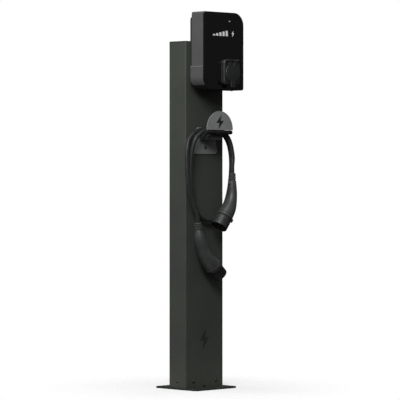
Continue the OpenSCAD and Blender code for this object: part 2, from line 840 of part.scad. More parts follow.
module holder_front_plate() {
    color("#8e9190") difference() {
        union() {
            deep(hook_back, hook_front) {
                translate([-hook_r, hook_z]) square([hook_w, hook_straight]);
                intersection() {
                    translate([0, hook_z + hook_straight]) circle(hook_r);
                    translate([-hook_r, hook_z + hook_straight]) square([hook_w, hook_r]);
                }
            }
            translate([-hook_r, hook_front + hook_bend, hook_z]) rotate([0, 90, 0])
                rotate([0, 0, -90]) rotate_extrude(angle = 90)
                    translate([hook_bend - hook_t, 0]) square([hook_t, hook_w]);
        }
        for (s = [-1, 1])
            rod_y(s * 8, hook_z + 5, case_screw_d / 2 + slip, 0, hook_front - 1);
        deep(hook_front + mark_t, hook_front - 1) translate([0, hook_z + 41]) flash_2d(44);
    }
}

module holder_screws() {
    color("#7e817f") {
        translate([0, plate_y, holder_screw_z]) rotate([90, 0, 0]) button_screw(screw_d, 16);
        translate([0, front_y + sheet, holder_screw_z]) rotate([-90, 0, 0]) hex_nut(screw_d, 5);
        for (s = [-1, 1]) {
            rod_y(s * 13, drum_z + 8, case_screw_d / 2, front_y, plate_y - 15);
            rod_y(s * 8, hook_z + 5, case_screw_d / 2, hook_back + hook_bend + 5, hook_front);
        }
    }
}

// --- cable ---
function spline(p, i, t) = let(
    a = p[max(i - 1, 0)],
    b = p[i],
    c = p[i + 1],
    d = p[min(i + 2, len(p) - 1)])
    0.5 * (2 * b + (c - a) * t + (2 * a - 5 * b + 4 * c - d) * t * t
        + (3 * b - a - 3 * c + d) * t * t * t);
function unit(v) = v / norm(v);
function spline_points(p, n) = concat(
    [for (i = [0:len(p) - 2], k = [0:n - 1]) spline(p, i, k / n)], [p[len(p) - 1]]);
function directions(q) = [for (i = [0:len(q) - 1])
    unit(q[min(i + 1, len(q) - 1)] - q[max(i - 1, 0)])];

// tube through points q; its sides are set out from the Y direction, which the route never takes
module tube(q, dirs, radii, sides) {
    n = len(q);
    rings = [for (i = [0:n - 1]) let(
        u = unit(cross(dirs[i], [0, 1, 0])),
        v = cross(u, dirs[i]))
        for (k = [0:sides - 1])
            q[i] + radii[i] * (cos(360 * k / sides) * u + sin(360 * k / sides) * v)];
    walls = [for (i = [0:n - 2], k = [0:sides - 1]) let(k2 = (k + 1) % sides)
        each [[i * sides + k, (i + 1) * sides + k, (i + 1) * sides + k2],
            [i * sides + k, (i + 1) * sides + k2, i * sides + k2]]];
    near_end = [[for (k = [0:sides - 1]) k]];
    far_end = [[for (k = [sides - 1:-1:0]) (n - 1) * sides + k]];
    polyhedron(rings, concat(walls, near_end, far_end));
}

// points on the middle line of a plug from distance s0 to s1, and their directions
function plug_line(place, a, s0, s1, n) = [for (i = [0:n]) let(
    p = along(a, s0 + (s1 - s0) * i / n)) place + [p[0], p[1], p[2]]];
function plug_ways(a, s0, s1, n) = [for (i = [0:n]) let(
    p = along(a, s0 + (s1 - s0) * i / n)) [-sin(p[3]), 0, -cos(p[3])]];

module charging_cable() {
    q = [for (p = spline_points(cable_pts, cable_steps)) p + route_move];
    s1 = boot_len + cable_in;
    n = cable_in_steps;
    start = plug_line(plug_2, p2_bend, s1, 0, n);
    stop = plug_line(plug_1, p1_bend, 0, s1, n);
    whole = concat(start, [for (i = [1:len(q) - 2]) q[i]], stop);
    color("#262729") tube(whole, directions(whole), [for (p = whole) cable_d / 2], cable_sides);
}

// a child drawn on +Z is set at distance s along a plug's middle line, pointing forwards
module at_plug(place, a, s) {
    p = along(a, s);
    translate(place + [p[0], p[1], p[2]]) rotate([0, p[3], 0]) rotate([180, 0, 0]) children();
}

module boot(place, a) {
    color("#55585a") at_plug(place, a, 0) difference() {
        union() {
            cylinder(r = boot_r - 1.5, h = boot_len);
            for (k = [0:ribs])
                translate([0, 0, k * (boot_len - 4) / ribs]) cylinder(r = boot_r + 0.3 * k, h = 4);
        }
        translate([0, 0, -1]) cylinder(r = cable_d / 2 + fit, h = boot_len + 2);
    }
}

// swept body of a plug with the cable's blind way into it: the rings run out of the way,
// from its closed end to the boot, and then along the outside to the front
module handle(place, a, radii) {
    s1 = boot_len + cable_in + way_fit;
    n = handle_rings;
    m = len(radii) - 1;
    k = cable_in_steps;
    r = [for (i = [0:n]) let(f = m * i / n, j = min(floor(f), m - 1))
        radii[j] + (radii[j + 1] - radii[j]) * (f - j)];
    rings = concat(plug_line(place, a, s1, boot_len, k),
        plug_line(place, a, boot_len + seat, full_len(a), n));
    ways = concat(plug_ways(a, s1, boot_len, k), plug_ways(a, boot_len + seat, full_len(a), n));
    color("#3f4244") tube(rings, ways,
        concat([for (i = [0:k]) cable_d / 2 + way_fit], r), handle_sides);
}

module plug_seal(place, a, d) {
    color("#101010") at_plug(place, a, full_len(a) + seat)
        cylinder(r = d / 2 - 2.5, h = seal_w - 2 * seat);
}

module collar(place, a, r, len) {
    color("#3a3d3f") at_plug(place, a, full_len(a) + seal_w) difference() {
        cylinder(r = r, h = len);
        translate([0, 0, 5]) cylinder(r = r - collar_wall, h = len);
    }
}

module plug_face(place, a, r, len, depth) {
    color("#17181a") at_plug(place, a, full_len(a) + seal_w + 5 + seat) difference() {
        intersection() {
            cylinder(r = r - collar_wall - slip, h = len - 5 - depth);
            union() {
                cylinder(r = r, h = 4);
                translate([-r, -r, 0]) cube([2 * r, 2 * r - 5, len]);
            }
        }
        for (c = contact_at)
            translate([c[0], c[1], -1]) cylinder(r = (c[2] == 1 ? 3 : 1.5) + slip, h = len);
    }
}

module plug_poles(place, a, len, out, hollow) {
    color("#c9ccc8") at_plug(place, a, full_len(a) + seal_w + 5) for (c = contact_at)
        translate([c[0], c[1], 0]) difference() {
            r = c[2] == 1 ? 3 : 1.5;
            cylinder(r = r, h = len - 5 - out);
            if (hollow) translate([0, 0, 4]) cylinder(r = r * 0.7, h = len);
        }
}

module plug_1_boot() { boot(plug_1, p1_bend); }
module plug_1_handle() { handle(plug_1, p1_bend, p1_radii * plug_1_d / 57); }
module plug_1_seal() { plug_seal(plug_1, p1_bend, plug_1_d); }
module plug_1_collar() { collar(plug_1, p1_bend, plug_1_d / 2, p1_collar_len); }
module plug_1_insert() { plug_face(plug_1, p1_bend, plug_1_d / 2, p1_collar_len, 24); }
module plug_1_pins() { plug_poles(plug_1, p1_bend, p1_collar_len, 8, false); }
module plug_2_boot() { boot(plug_2, p2_bend); }
module plug_2_handle() { handle(plug_2, p2_bend, p2_radii * plug_2_d / 61); }
module plug_2_seal() { plug_seal(plug_2, p2_bend, plug_2_d); }
module plug_2_collar() { collar(plug_2, p2_bend, p2_collar_r, p2_collar_len); }
module plug_2_insert() { plug_face(plug_2, p2_bend, p2_collar_r, p2_collar_len, 8); }
module plug_2_contacts() { plug_poles(plug_2, p2_bend, p2_collar_len, 10, true); }

base_plate();
base_socket();
weld_nuts();
earth_stud();
column();
rear_cover();
rear_cover_screws();
column_cap();
column_screws();
post_mark();
wall_bracket();
bracket_bolts();
rear_housing();
housing_seal();
main_housing();
lower_cover();
cover_screws();
housing_screws();
front_panel();
status_lens();
charge_mark();
control_board();
relays();
power_supply();
leakage_sensor();
terminal_block();
board_standoffs();
card_reader();
supply_gland();
gland_nut();
socket_housing();
socket_gasket();
socket_insert();
socket_contacts();
socket_screws();
flap();
flap_seal();
hinge_pin();
flap_spring();
lock_actuator();
lock_pin();
holder_back_plate();
holder_drum();
holder_front_plate();
holder_screws();
charging_cable();
plug_1_boot();
plug_1_handle();
plug_1_seal();
plug_1_collar();
plug_1_insert();
plug_1_pins();
plug_2_boot();
plug_2_handle();
plug_2_seal();
plug_2_collar();
plug_2_insert();
plug_2_contacts();
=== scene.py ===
"""Looks of a car charging post: a folded sheet column on a base plate, carrying a wall charger, a cable
holder and a charging cable that hangs from it with a plug at each end. Sizes are in millimetres in the
shape functions, and in metres in the meshes, the cable's route and the camera's place."""
import math

import bmesh
import bpy
import numpy as np
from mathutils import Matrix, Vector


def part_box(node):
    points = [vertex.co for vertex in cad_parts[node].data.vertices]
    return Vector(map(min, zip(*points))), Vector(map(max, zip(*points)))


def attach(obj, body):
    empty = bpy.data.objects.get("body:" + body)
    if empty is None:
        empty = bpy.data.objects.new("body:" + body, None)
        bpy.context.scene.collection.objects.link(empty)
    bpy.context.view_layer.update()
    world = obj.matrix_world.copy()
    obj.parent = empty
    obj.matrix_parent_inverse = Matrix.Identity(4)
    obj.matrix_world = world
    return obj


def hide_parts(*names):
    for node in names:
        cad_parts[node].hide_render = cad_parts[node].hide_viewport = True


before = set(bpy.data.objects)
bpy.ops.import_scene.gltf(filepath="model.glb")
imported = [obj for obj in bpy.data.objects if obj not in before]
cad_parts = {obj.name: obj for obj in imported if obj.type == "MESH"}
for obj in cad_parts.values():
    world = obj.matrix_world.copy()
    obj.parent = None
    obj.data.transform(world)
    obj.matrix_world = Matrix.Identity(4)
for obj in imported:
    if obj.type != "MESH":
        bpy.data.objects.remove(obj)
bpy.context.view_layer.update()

MM = 0.001
CABLE_D = 0.014
CABLE_SIDES = 28
CABLE_IN = 50
BOOT_LEN = 24
BOOT_R = 12
SEAL_W = 3
COLLAR_WALL = 3
# height of the holder plate's folded lip, and of the painted shade band along the bottom of the charger's
# lower cover
HOLDER_LIP = 11
PAINTED_SHADE_H = 15.5
# a plug's middle line: start angle, straight run, bend radius, angle turned, last straight run
PLUG_1_BEND = (0, 58, 110, 37.3, 31)
PLUG_2_BEND = (-8, 24, 195, -39, 23)
# body radii at equal distances from the boot to the front
PLUG_1_RADII = (12.5, 14.5, 16, 18, 21.5, 25.5, 27.5, 28)
PLUG_2_RADII = (12.5, 18, 20.5, 22, 24.5, 27.5, 29.5, 30)
# the cable's way from plug 2, over the drum at the back, round below and over the drum in front
CABLE_ROUTE = [
    (-0.066, -0.075, 0.561), (-0.069, -0.075, 0.585), (-0.078, -0.071, 0.612),
    (-0.094, -0.066, 0.663), (-0.103, -0.064, 0.710), (-0.105, -0.062, 0.760),
    (-0.102, -0.060, 0.805), (-0.088, -0.058, 0.843), (-0.052, -0.058, 0.868),
    (0.000, -0.058, 0.876), (0.050, -0.060, 0.868), (0.085, -0.063, 0.838),
    (0.100, -0.066, 0.785), (0.099, -0.066, 0.715), (0.085, -0.063, 0.642),
    (0.054, -0.057, 0.588), (0.006, -0.055, 0.567), (-0.034, -0.056, 0.581),
    (-0.062, -0.059, 0.616), (-0.079, -0.062, 0.663), (-0.088, -0.064, 0.710),
    (-0.090, -0.066, 0.760), (-0.087, -0.071, 0.810), (-0.074, -0.077, 0.847),
    (-0.040, -0.081, 0.869), (0.000, -0.082, 0.876), (0.042, -0.086, 0.867),
    (0.068, -0.092, 0.836), (0.078, -0.097, 0.785), (0.075, -0.098, 0.750),
    (0.075, -0.098, 0.727),
]


# ---------------------------------------------------------------- camera

def add_object(name, data):
    """A new object in the scene."""
    made = bpy.data.objects.new(name, data)
    bpy.context.scene.collection.objects.link(made)
    return made


def put_camera():
    """A long lens at hip height, well back from the post's front left corner."""
    data = bpy.data.cameras.new("camera")
    data.sensor_width = 36
    data.lens = 223.9
    data.shift_y = -0.071
    data.clip_end = 100
    camera = add_object("camera", data)
    camera.location = (-5.9244, -5.9846, 0.732)
    camera.rotation_euler = (math.radians(90), 0, math.radians(-44.8))
    bpy.context.scene.camera = camera


put_camera()


# ---------------------------------------------------------------- materials

def srgb(code):
    """Linear colour of an sRGB hex code: c / 12.92 low down, ((c + 0.055) / 1.055) ^ 2.4 above."""
    parts = [int(code[i:i + 2], 16) / 255 for i in (0, 2, 4)]
    return tuple(c / 12.92 if c <= 0.04045 else ((c + 0.055) / 1.055) ** 2.4 for c in parts) + (1,)


def add_node(tree, kind, sockets=(), **fields):
    """Adds one node: fields are its own settings, and each socket gets a value or a link."""
    made = tree.nodes.new(kind)
    for field, value in fields.items():
        setattr(made, field, value)
    for name, value in dict(sockets).items():
        target = made.inputs[name]
        if isinstance(value, bpy.types.NodeSocket):
            tree.links.new(value, target)
        else:
            target.default_value = value
    return made


def new_material(name, **constants):
    """An empty material with one Principled shader. Constants go straight on the shader's sockets."""
    material = bpy.data.materials.new(name)
    material.use_nodes = True
    tree = material.node_tree
    tree.nodes.clear()
    sockets = {key.replace("_", " "): value for key, value in constants.items()}
    shader = add_node(tree, "ShaderNodeBsdfPrincipled", sockets)
    add_node(tree, "ShaderNodeOutputMaterial", {"Surface": shader.outputs["BSDF"]})
    return material, tree, shader


def ramp(tree, fac, stops):
    """A colour ramp through (place, hex colour) stops."""
    made = add_node(tree, "ShaderNodeValToRGB", {"Fac": fac})
    elements = made.color_ramp.elements
    while len(elements) < len(stops):
        elements.new(0.5)
    for element, (place, code) in zip(elements, stops):
        element.position = place
        element.color = srgb(code)
    return made.outputs["Color"]


def spread(tree, value, low, high, from_low=0.0, from_high=1.0, **fields):
    """A value between from_low and from_high stretched to low to high."""
    made = add_node(tree, "ShaderNodeMapRange", {"Value": value, "From Min": from_low, "From Max": from_high,
                                                 "To Min": low, "To Max": high}, **fields)
    return made.outputs["Result"]


def coordinate(tree, kind="Object"):
    """Texture coordinate of the given kind."""
    return add_node(tree, "ShaderNodeTexCoord").outputs[kind]


def part_of(tree, vector, axis):
    """One part of a vector."""
    return add_node(tree, "ShaderNodeSeparateXYZ", {"Vector": vector}).outputs[axis]


def stretched(tree, vector, scale, turn=(0, 0, 0)):
    """A coordinate turned and scaled."""
    made = add_node(tree, "ShaderNodeMapping", {"Vector": vector, "Scale": scale, "Rotation": turn})
    return made.outputs["Vector"]


def noise(tree, vector, scale, detail, roughness=0.5, **fields):
    """Cloudy noise from 0 to 1."""
    made = add_node(tree, "ShaderNodeTexNoise", {"Vector": vector, "Scale": scale, "Detail": detail,
                                                 "Roughness": roughness}, **fields)
    return made.outputs["Fac"]


def maths(tree, operation, *values):
    """The result of one operation on the values."""
    made = add_node(tree, "ShaderNodeMath", dict(enumerate(values)), operation=operation)
    return made.outputs["Value"]


def blend(tree, factor, under, over, kind="RGBA"):
    """Over laid on under by factor: colours, or values if kind is FLOAT."""
    made = add_node(tree, "ShaderNodeMix", {"Factor": factor, "A": under, "B": over}, data_type=kind)
    return made.outputs["Result"]


def round_normal(tree, radius_mm):
    """A normal that shades edges as if they were rounded by radius_mm."""
    return add_node(tree, "ShaderNodeBevel", {"Radius": radius_mm * MM}, samples=4).outputs["Normal"]


def bumped(tree, height, strength, depth_mm, normal=None):
    """A normal bent by a height depth_mm deep, on top of another normal if one is given."""
    sockets = {"Height": height, "Strength": strength, "Distance": depth_mm * MM}
    if normal is not None:
        sockets["Normal"] = normal
    return add_node(tree, "ShaderNodeBump", sockets).outputs["Normal"]


def drive(tree, shader, **sources):
    """Links sources to the shader's sockets of the same names."""
    for name, source in sources.items():
        tree.links.new(source, shader.inputs[name.replace("_", " ")])


def finish_coat(name, stops, rough, cloud_mm, grain_mm, grain_depth_mm, edge_mm, **constants):
    """A material with soft clouds of colour and gloss cloud_mm across, a surface grain grain_mm across and
    grain_depth_mm deep, and edges that shade as if they were rounded by edge_mm."""
    material, tree, shader = new_material(name, **constants)
    place = coordinate(tree)
    clouds = noise(tree, place, 1000 / cloud_mm, 6, 0.6)
    grain = noise(tree, place, 1000 / grain_mm, 2)
    both = blend(tree, 0.3, clouds, grain, "FLOAT")
    drive(tree, shader, Base_Color=ramp(tree, both, stops), Roughness=spread(tree, both, *rough),
          Normal=bumped(tree, grain, 0.6, grain_depth_mm, round_normal(tree, edge_mm)))
    return material


def column_powder_coat():
    """Fine-textured polyester powder coat, sprayed and baked: matt green-black with a faint orange peel, and
    dusty grey low down, where rain splashes it."""
    material, tree, shader = new_material("powder_coat_anthracite", Specular_IOR_Level=0.35)
    place = coordinate(tree)
    clouds = noise(tree, place, 7, 7, 0.62)
    peel = noise(tree, place, 330, 2)
    sand = noise(tree, place, 1100, 1)
    coat = ramp(tree, clouds, [(0.3, "3c403b"), (0.7, "444842")])
    # rain marks: noise stretched twenty times down the sheet
    streaks = noise(tree, stretched(tree, place, (45, 45, 2.2)), 1, 4, 0.7)
    low = spread(tree, part_of(tree, place, "Z"), 0.22, 0.0, 0.0, 0.16, interpolation_type="SMOOTHSTEP")
    dust = maths(tree, "MULTIPLY", low, streaks)
    dusty = blend(tree, dust, coat, srgb("6b6b62"))
    marked = blend(tree, spread(tree, streaks, -0.05, 0.16), dusty, srgb("4e524b"))
    fine = bumped(tree, sand, 0.5, 0.05, round_normal(tree, 0.9))
    drive(tree, shader, Base_Color=marked, Normal=bumped(tree, peel, 0.5, 0.12, fine),
          Roughness=maths(tree, "ADD", spread(tree, clouds, 0.40, 0.62), dust))
    return material


def cover_with_painted_light(base, painted_shade_z, seam_z):
    """The case's grained polycarbonate with light painted into its colour: below painted_shade_z metres it
    is painted black, a painted shade for the unlit underside of the cover's rounded bottom, and the 2 mm
    under its top edge at seam_z are painted pale, a painted highlight where that edge catches the light."""
    material = base.copy()
    material.name = "polycarbonate_painted_shade_highlight"
    tree = material.node_tree
    shader = next(n for n in tree.nodes if n.type == "BSDF_PRINCIPLED")
    grey = shader.inputs["Base Color"].links[0].from_socket
    height = part_of(tree, coordinate(tree), "Z")
    # painted shade: black below painted_shade_z, where the cover's bottom curves away from the light
    painted_shade = spread(tree, height, 1.0, 0.0, painted_shade_z - 1.0 * MM, painted_shade_z)
    # painted highlight: pale just under the cover's top edge, where it catches light from above
    painted_highlight = spread(tree, height, 0.0, 0.8, seam_z - 2.6 * MM, seam_z - 2.0 * MM)
    highlighted = blend(tree, painted_highlight, grey, srgb("7a7a7a"))
    drive(tree, shader, Base_Color=blend(tree, painted_shade, highlighted, srgb("191919")))
    return material


def gloss_panel():
    """Black-backed acrylic sheet, polished: near mirror gloss with faint wipe marks in its clear coat."""
    material, tree, shader = new_material("acrylic_black", Base_Color=srgb("0b0b0c"), IOR=1.49,
                                          Coat_Weight=0.4, Coat_Roughness=0.03)
    wipes = noise(tree, stretched(tree, coordinate(tree), (6, 6, 28), (0, 0.6, 0)), 1, 5, 0.65)
    drive(tree, shader, Roughness=spread(tree, wipes, 0.05, 0.16), Normal=round_normal(tree, 0.4))
    return material


def cable_sheath():
    """Extruded polyurethane sheath: dark grey and satin, with fine lengthwise die lines and a faint lay of
    the twisted cores under it, one turn each 90 mm. Reads the cable's own UV: round it, and metres along."""
    material, tree, shader = new_material("polyurethane_sheath", Specular_IOR_Level=0.4,
                                          Sheen_Weight=0.06, Sheen_Roughness=0.5)
    uv = add_node(tree, "ShaderNodeUVMap", uv_map="along").outputs["UV"]
    streaks = noise(tree, stretched(tree, uv, (60, 3, 1)), 1, 3, noise_dimensions="2D")
    scuffs = noise(tree, coordinate(tree), 55, 6, 0.65)
    # three cores: the wave's phase is three times round the cable plus the distance along it
    turns = maths(tree, "MULTIPLY", part_of(tree, uv, "Y"), 3 / 0.09)
    phase = maths(tree, "MULTIPLY_ADD", part_of(tree, uv, "X"), 3.0, turns)
    lay = maths(tree, "SINE", maths(tree, "MULTIPLY", phase, 2 * math.pi))
    drive(tree, shader, Roughness=spread(tree, streaks, 0.34, 0.6),
          Base_Color=ramp(tree, scuffs, [(0.35, "1f2020"), (0.62, "272828"), (0.8, "323333")]),
          Normal=bumped(tree, streaks, 0.4, 0.08, bumped(tree, lay, 0.35, 0.15)))
    return material


def brushed_metal(name, stops, rough, line_mm, along=(1, 1, 6)):
    """Bare metal with fine draw lines: the noise is squeezed across them and its gloss follows it."""
    material, tree, shader = new_material(name, Metallic=1.0)
    scale = tuple(1000 / line_mm / a for a in along)
    lines = noise(tree, stretched(tree, coordinate(tree), scale), 1, 4, 0.6)
    drive(tree, shader, Base_Color=ramp(tree, lines, stops), Roughness=spread(tree, lines, *rough),
          Normal=bumped(tree, lines, 0.3, 0.03, round_normal(tree, 0.3)))
    return material


def circuit_board_green():
    """Solder mask over copper on glass cloth: glossy green with paler tracks on a 2.5 mm grid of cells."""
    material, tree, shader = new_material("solder_mask_green", Coat_Weight=0.5, Coat_Roughness=0.1)
    tracks = add_node(tree, "ShaderNodeTexBrick",
                      {"Vector": coordinate(tree), "Scale": 100, "Color1": srgb("1c5a34"),
                       "Color2": srgb("22663c"), "Mortar": srgb("3c8a55"), "Mortar Size": 0.03,
                       "Brick Width": 0.9, "Row Height": 0.25}).outputs
    drive(tree, shader, Base_Color=tracks["Color"], Roughness=spread(tree, tracks["Fac"], 0.28, 0.4),
          Normal=bumped(tree, tracks["Fac"], 0.3, 0.05))
    return material


MATERIALS = {
    "column": column_powder_coat(),
    # powder coat on the plate and cap: the same tint, scuffed more
    "plate": finish_coat("powder_coat_plate", [(0.3, "272b27"), (0.62, "2e322d"), (0.8, "3c4039")],
                         (0.42, 0.68), 60, 1.4, 0.1, 1.0, Specular_IOR_Level=0.35),
    "cap": finish_coat("powder_coat_cap", [(0.3, "2d312d"), (0.7, "363b35")], (0.42, 0.62), 80, 1.4,
                       0.08, 0.8, Specular_IOR_Level=0.35),
    # satin powder coat, mid grey: smoother than the column's
    "holder": finish_coat("powder_coat_grey", [(0.3, "7c7f7d"), (0.6, "868987"), (0.8, "919491")],
                          (0.38, 0.52), 70, 1.8, 0.06, 0.8, Specular_IOR_Level=0.4),
    # the holder's grey coat darkened for the drum: painted shade for the shadow under the holder's front
    # plate
    "holder_painted_shade": finish_coat("powder_coat_grey_painted_shade", [(0.3, "2e302f"), (0.7, "383a39")], (0.4, 0.55),
                               70, 1.8, 0.06, 0.8, Specular_IOR_Level=0.4),
    # polycarbonate case, moulded against a spark-eroded tool: even matt grain
    "case": finish_coat("polycarbonate_grey", [(0.3, "4b4b4b"), (0.7, "535353")], (0.46, 0.58), 90, 1.1,
                        0.08, 1.4, Specular_IOR_Level=0.45),
    "case_rear": finish_coat("polycarbonate_dark", [(0.3, "2c2e2e"), (0.7, "353737")], (0.5, 0.62), 90,
                             1.1, 0.08, 0.8, Specular_IOR_Level=0.4),
    "gloss": gloss_panel(),
    # glass-filled polyamide, moulded: satin black with a light grain
    "socket": finish_coat("polyamide_socket", [(0.3, "202121"), (0.7, "2a2b2b")], (0.36, 0.5), 45, 1.2,
                          0.06, 0.7, Specular_IOR_Level=0.5),
    "plug": finish_coat("polyamide_plug", [(0.3, "383939"), (0.6, "414242"), (0.8, "4d4e4e")],
                        (0.36, 0.5), 35, 1.3, 0.06, 0.5, Specular_IOR_Level=0.5),
    "plug_front": finish_coat("polyamide_plug_front", [(0.3, "2b2c2c"), (0.6, "323333"), (0.8, "3e3f3f")],
                              (0.33, 0.5), 35, 1.3, 0.06, 0.5, Specular_IOR_Level=0.5),
    "insert": finish_coat("polyamide_insert", [(0.3, "151617"), (0.7, "1c1d1f")], (0.4, 0.55), 40, 1.3,
                          0.05, 0.3, Specular_IOR_Level=0.45),
    # soft thermoplastic rubber, moulded: dull and slightly dusty
    "boot": finish_coat("thermoplastic_rubber", [(0.3, "383a3b"), (0.8, "474949")], (0.5, 0.68), 30, 0.9,
                        0.08, 0.4, Specular_IOR_Level=0.35, Sheen_Weight=0.1),
    "rubber": finish_coat("epdm_rubber", [(0.3, "141414"), (0.8, "202020")], (0.55, 0.75), 25, 0.8, 0.08,
                          0.3, Specular_IOR_Level=0.3),
    "cable": cable_sheath(),
    "zinc": brushed_metal("zinc_plated_steel", [(0.3, "a9aba6"), (0.7, "c7c9c3")], (0.28, 0.5), 2.0),
    "dark_screw": brushed_metal("black_zinc_steel", [(0.3, "5c5e5c"), (0.7, "787a77")], (0.3, 0.5), 2.0),
    "brass": brushed_metal("brass_turned", [(0.3, "b08a3e"), (0.7, "cfa959")], (0.2, 0.38), 1.5),
    "silver": brushed_metal("silver_plated_copper", [(0.3, "b9b6ac"), (0.7, "dcdad2")], (0.15, 0.3), 1.2),
    "galvanised": brushed_metal("galvanised_steel", [(0.3, "8e918d"), (0.7, "b0b3ae")], (0.35, 0.6), 14.0,
                                along=(1, 1, 1)),
    "board": circuit_board_green(),
    "grey_part": finish_coat("pbt_grey", [(0.3, "77797a"), (0.7, "858788")], (0.4, 0.55), 20, 1.0, 0.05,
                             0.4),
    "pale_part": finish_coat("pbt_ivory", [(0.3, "c4c3ba"), (0.7, "d3d2ca")], (0.35, 0.5), 20, 1.0, 0.04,
                             0.4),
    "blue_part": finish_coat("pbt_blue", [(0.3, "22407a"), (0.7, "2a4c8c")], (0.3, 0.45), 20, 1.0, 0.04,
                             0.4),
    "black_part": finish_coat("pbt_black", [(0.3, "1b1d1f"), (0.7, "26282a")], (0.35, 0.5), 20, 1.0,
                              0.05, 0.4),
    # screen-printed white ink: flat and slightly uneven
    "print": finish_coat("white_ink", [(0.3, "d6d8d8"), (0.7, "eceeee")], (0.45, 0.6), 6, 0.6, 0.02, 0.1),
    "print_dark": finish_coat("black_ink", [(0.3, "151616"), (0.7, "1e1f1f")], (0.5, 0.65), 6, 0.6, 0.02,
                              0.1),
    "post_mark": finish_coat("grey_green_ink", [(0.3, "20231f"), (0.7, "282b27")], (0.5, 0.7), 8, 0.8,
                             0.03, 0.1),
    # frosted acrylic light guide: milky, with a clear skin
    "lens": finish_coat("frosted_acrylic", [(0.3, "c3ccc6"), (0.7, "dbe2dd")], (0.2, 0.32), 5, 0.6, 0.02,
                        0.2, Coat_Weight=0.6, Coat_Roughness=0.08),
}

cover_low, cover_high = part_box("lower_cover")
# the lower cover: grey, with painted shade along its bottom and a painted highlight under its top edge
MATERIALS["cover"] = cover_with_painted_light(MATERIALS["case"], cover_low[2] + PAINTED_SHADE_H * MM, cover_high[2])

NODE_MATERIALS = {
    "column": ["column", "rear_cover"],
    "plate": ["base_plate"],
    "cap": ["column_cap", "base_socket"],
    "post_mark": ["post_mark"],
    "galvanised": ["wall_bracket"],
    "zinc": ["weld_nuts", "rear_cover_screws", "bracket_bolts", "housing_screws",
             "socket_screws", "lock_pin"],
    # the hinge pin and flap spring are black zinc steel, and their dark is also painted shade for the notch
    # between the hinge knuckles
    "dark_screw": ["column_screws", "cover_screws", "holder_screws", "hinge_pin", "flap_spring"],
    "brass": ["earth_stud", "board_standoffs"],
    "silver": ["socket_contacts", "plug_1_pins", "plug_2_contacts"],
    "case": ["main_housing"],
    "cover": ["lower_cover"],
    "case_rear": ["rear_housing", "supply_gland", "gland_nut"],
    "rubber": ["housing_seal", "socket_gasket", "flap_seal", "plug_1_seal", "plug_2_seal"],
    "board": ["control_board", "card_reader"],
    "blue_part": ["relays"],
    "black_part": ["power_supply", "lock_actuator"],
    "pale_part": ["leakage_sensor"],
    "grey_part": ["terminal_block"],
    "insert": ["socket_insert", "plug_1_insert", "plug_2_insert"],
    "holder": ["holder_back_plate"],
    # the drum takes the darkened grey: painted shade
    "holder_painted_shade": ["holder_drum"],
    "print": ["charge_mark"],
}


def dress_nodes():
    """Gives each CAD node that stays in view its material, on every slot it has."""
    for finish, names in NODE_MATERIALS.items():
        for name in names:
            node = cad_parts[name]
            for item in node.material_slots:
                item.material = MATERIALS[finish]


# ---------------------------------------------------------------- shapes

def shell(grid, loop=False):
    """Points and faces of a row of rings, an (n, m, 3) grid: quads join each ring to the next, and the end
    rings are filled in, or joined to each other where the rings make a loop."""
    n, m, _ = grid.shape
    i = np.arange(n if loop else n - 1)[:, None]
    j = np.arange(m)[None, :]
    here, after = i * m, (i + 1) % n * m
    right = (j + 1) % m
    faces = np.stack([here + j, here + right, after + right, after + j], axis=-1).reshape(-1, 4).tolist()
    if not loop:
        faces += [list(range(m))[::-1], list(range((n - 1) * m, n * m))]
    return grid.reshape(-1, 3), faces


def piece(name, shells, finish, nodes=(), body="root", crisp=38, sheet=False):
    """One object from one or more shells in millimetres. Closed shells have their faces turned outwards.
    Edges sharper than crisp degrees stay sharp, and the rest are smooth."""
    points, faces, count = [], [], 0
    for more, quads in shells:
        points.append(more)
        faces += [[k + count for k in face] for face in quads]
        count += len(more)
    mesh = bpy.data.meshes.new(name)
    mesh.from_pydata((np.concatenate(points) * MM).tolist(), [], faces)
    work = bmesh.new()
    work.from_mesh(mesh)
    bmesh.ops.remove_doubles(work, verts=work.verts, dist=1e-7)
    if not sheet:
        bmesh.ops.recalc_face_normals(work, faces=work.faces)
    work.to_mesh(mesh)
    work.free()
    mesh.shade_smooth()
    mesh.set_sharp_from_angle(angle=math.radians(crisp))
    mesh.materials.append(MATERIALS[finish])
    made = add_object(name, mesh)
    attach(made, body)
    if nodes:
        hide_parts(*nodes)
    return made


def corners(node):
    """Lowest and highest corner of a CAD node in millimetres."""
    low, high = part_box(node)
    return np.array(low) / MM, np.array(high) / MM


def middle(node):
    """Middle of a CAD node's box in millimetres."""
    low, high = corners(node)
    return (low + high) / 2


def rounded_outline(x0, z0, x1, z1, radii, inset=0.0, per_corner=14, per_side=36):
    """A rounded rectangle in (x, z), pulled in by inset: at each corner an arc, centre + r (cos t, sin t),
    from the low left corner round by the low right one, with per_side points on the side after it."""
    arcs = []
    places = ((x0, z0, 1, 1, 180), (x1, z0, -1, 1, 270), (x1, z1, -1, -1, 0), (x0, z1, 1, -1, 90))
    for (x, z, sx, sz, start), r in zip(places, radii):
        t = np.radians(start + np.linspace(0, 90, per_corner))
        small = max(r - inset, 0.2)
        arcs.append(np.stack([x + sx * r + small * np.cos(t), z + sz * r + small * np.sin(t)], axis=1))
    share = np.linspace(0, 1, per_side + 2)[1:-1, None]
    sides = [arc[-1] + share * (after[0] - arc[-1]) for arc, after in zip(arcs, arcs[1:] + arcs[:1])]
    return np.concatenate([part for pair in zip(arcs, sides) for part in pair])


def at_y(outline, y):
    """An (x, z) outline set at depth y."""
    return np.stack([outline[:, 0], np.full(len(outline), float(y)), outline[:, 1]], axis=1)


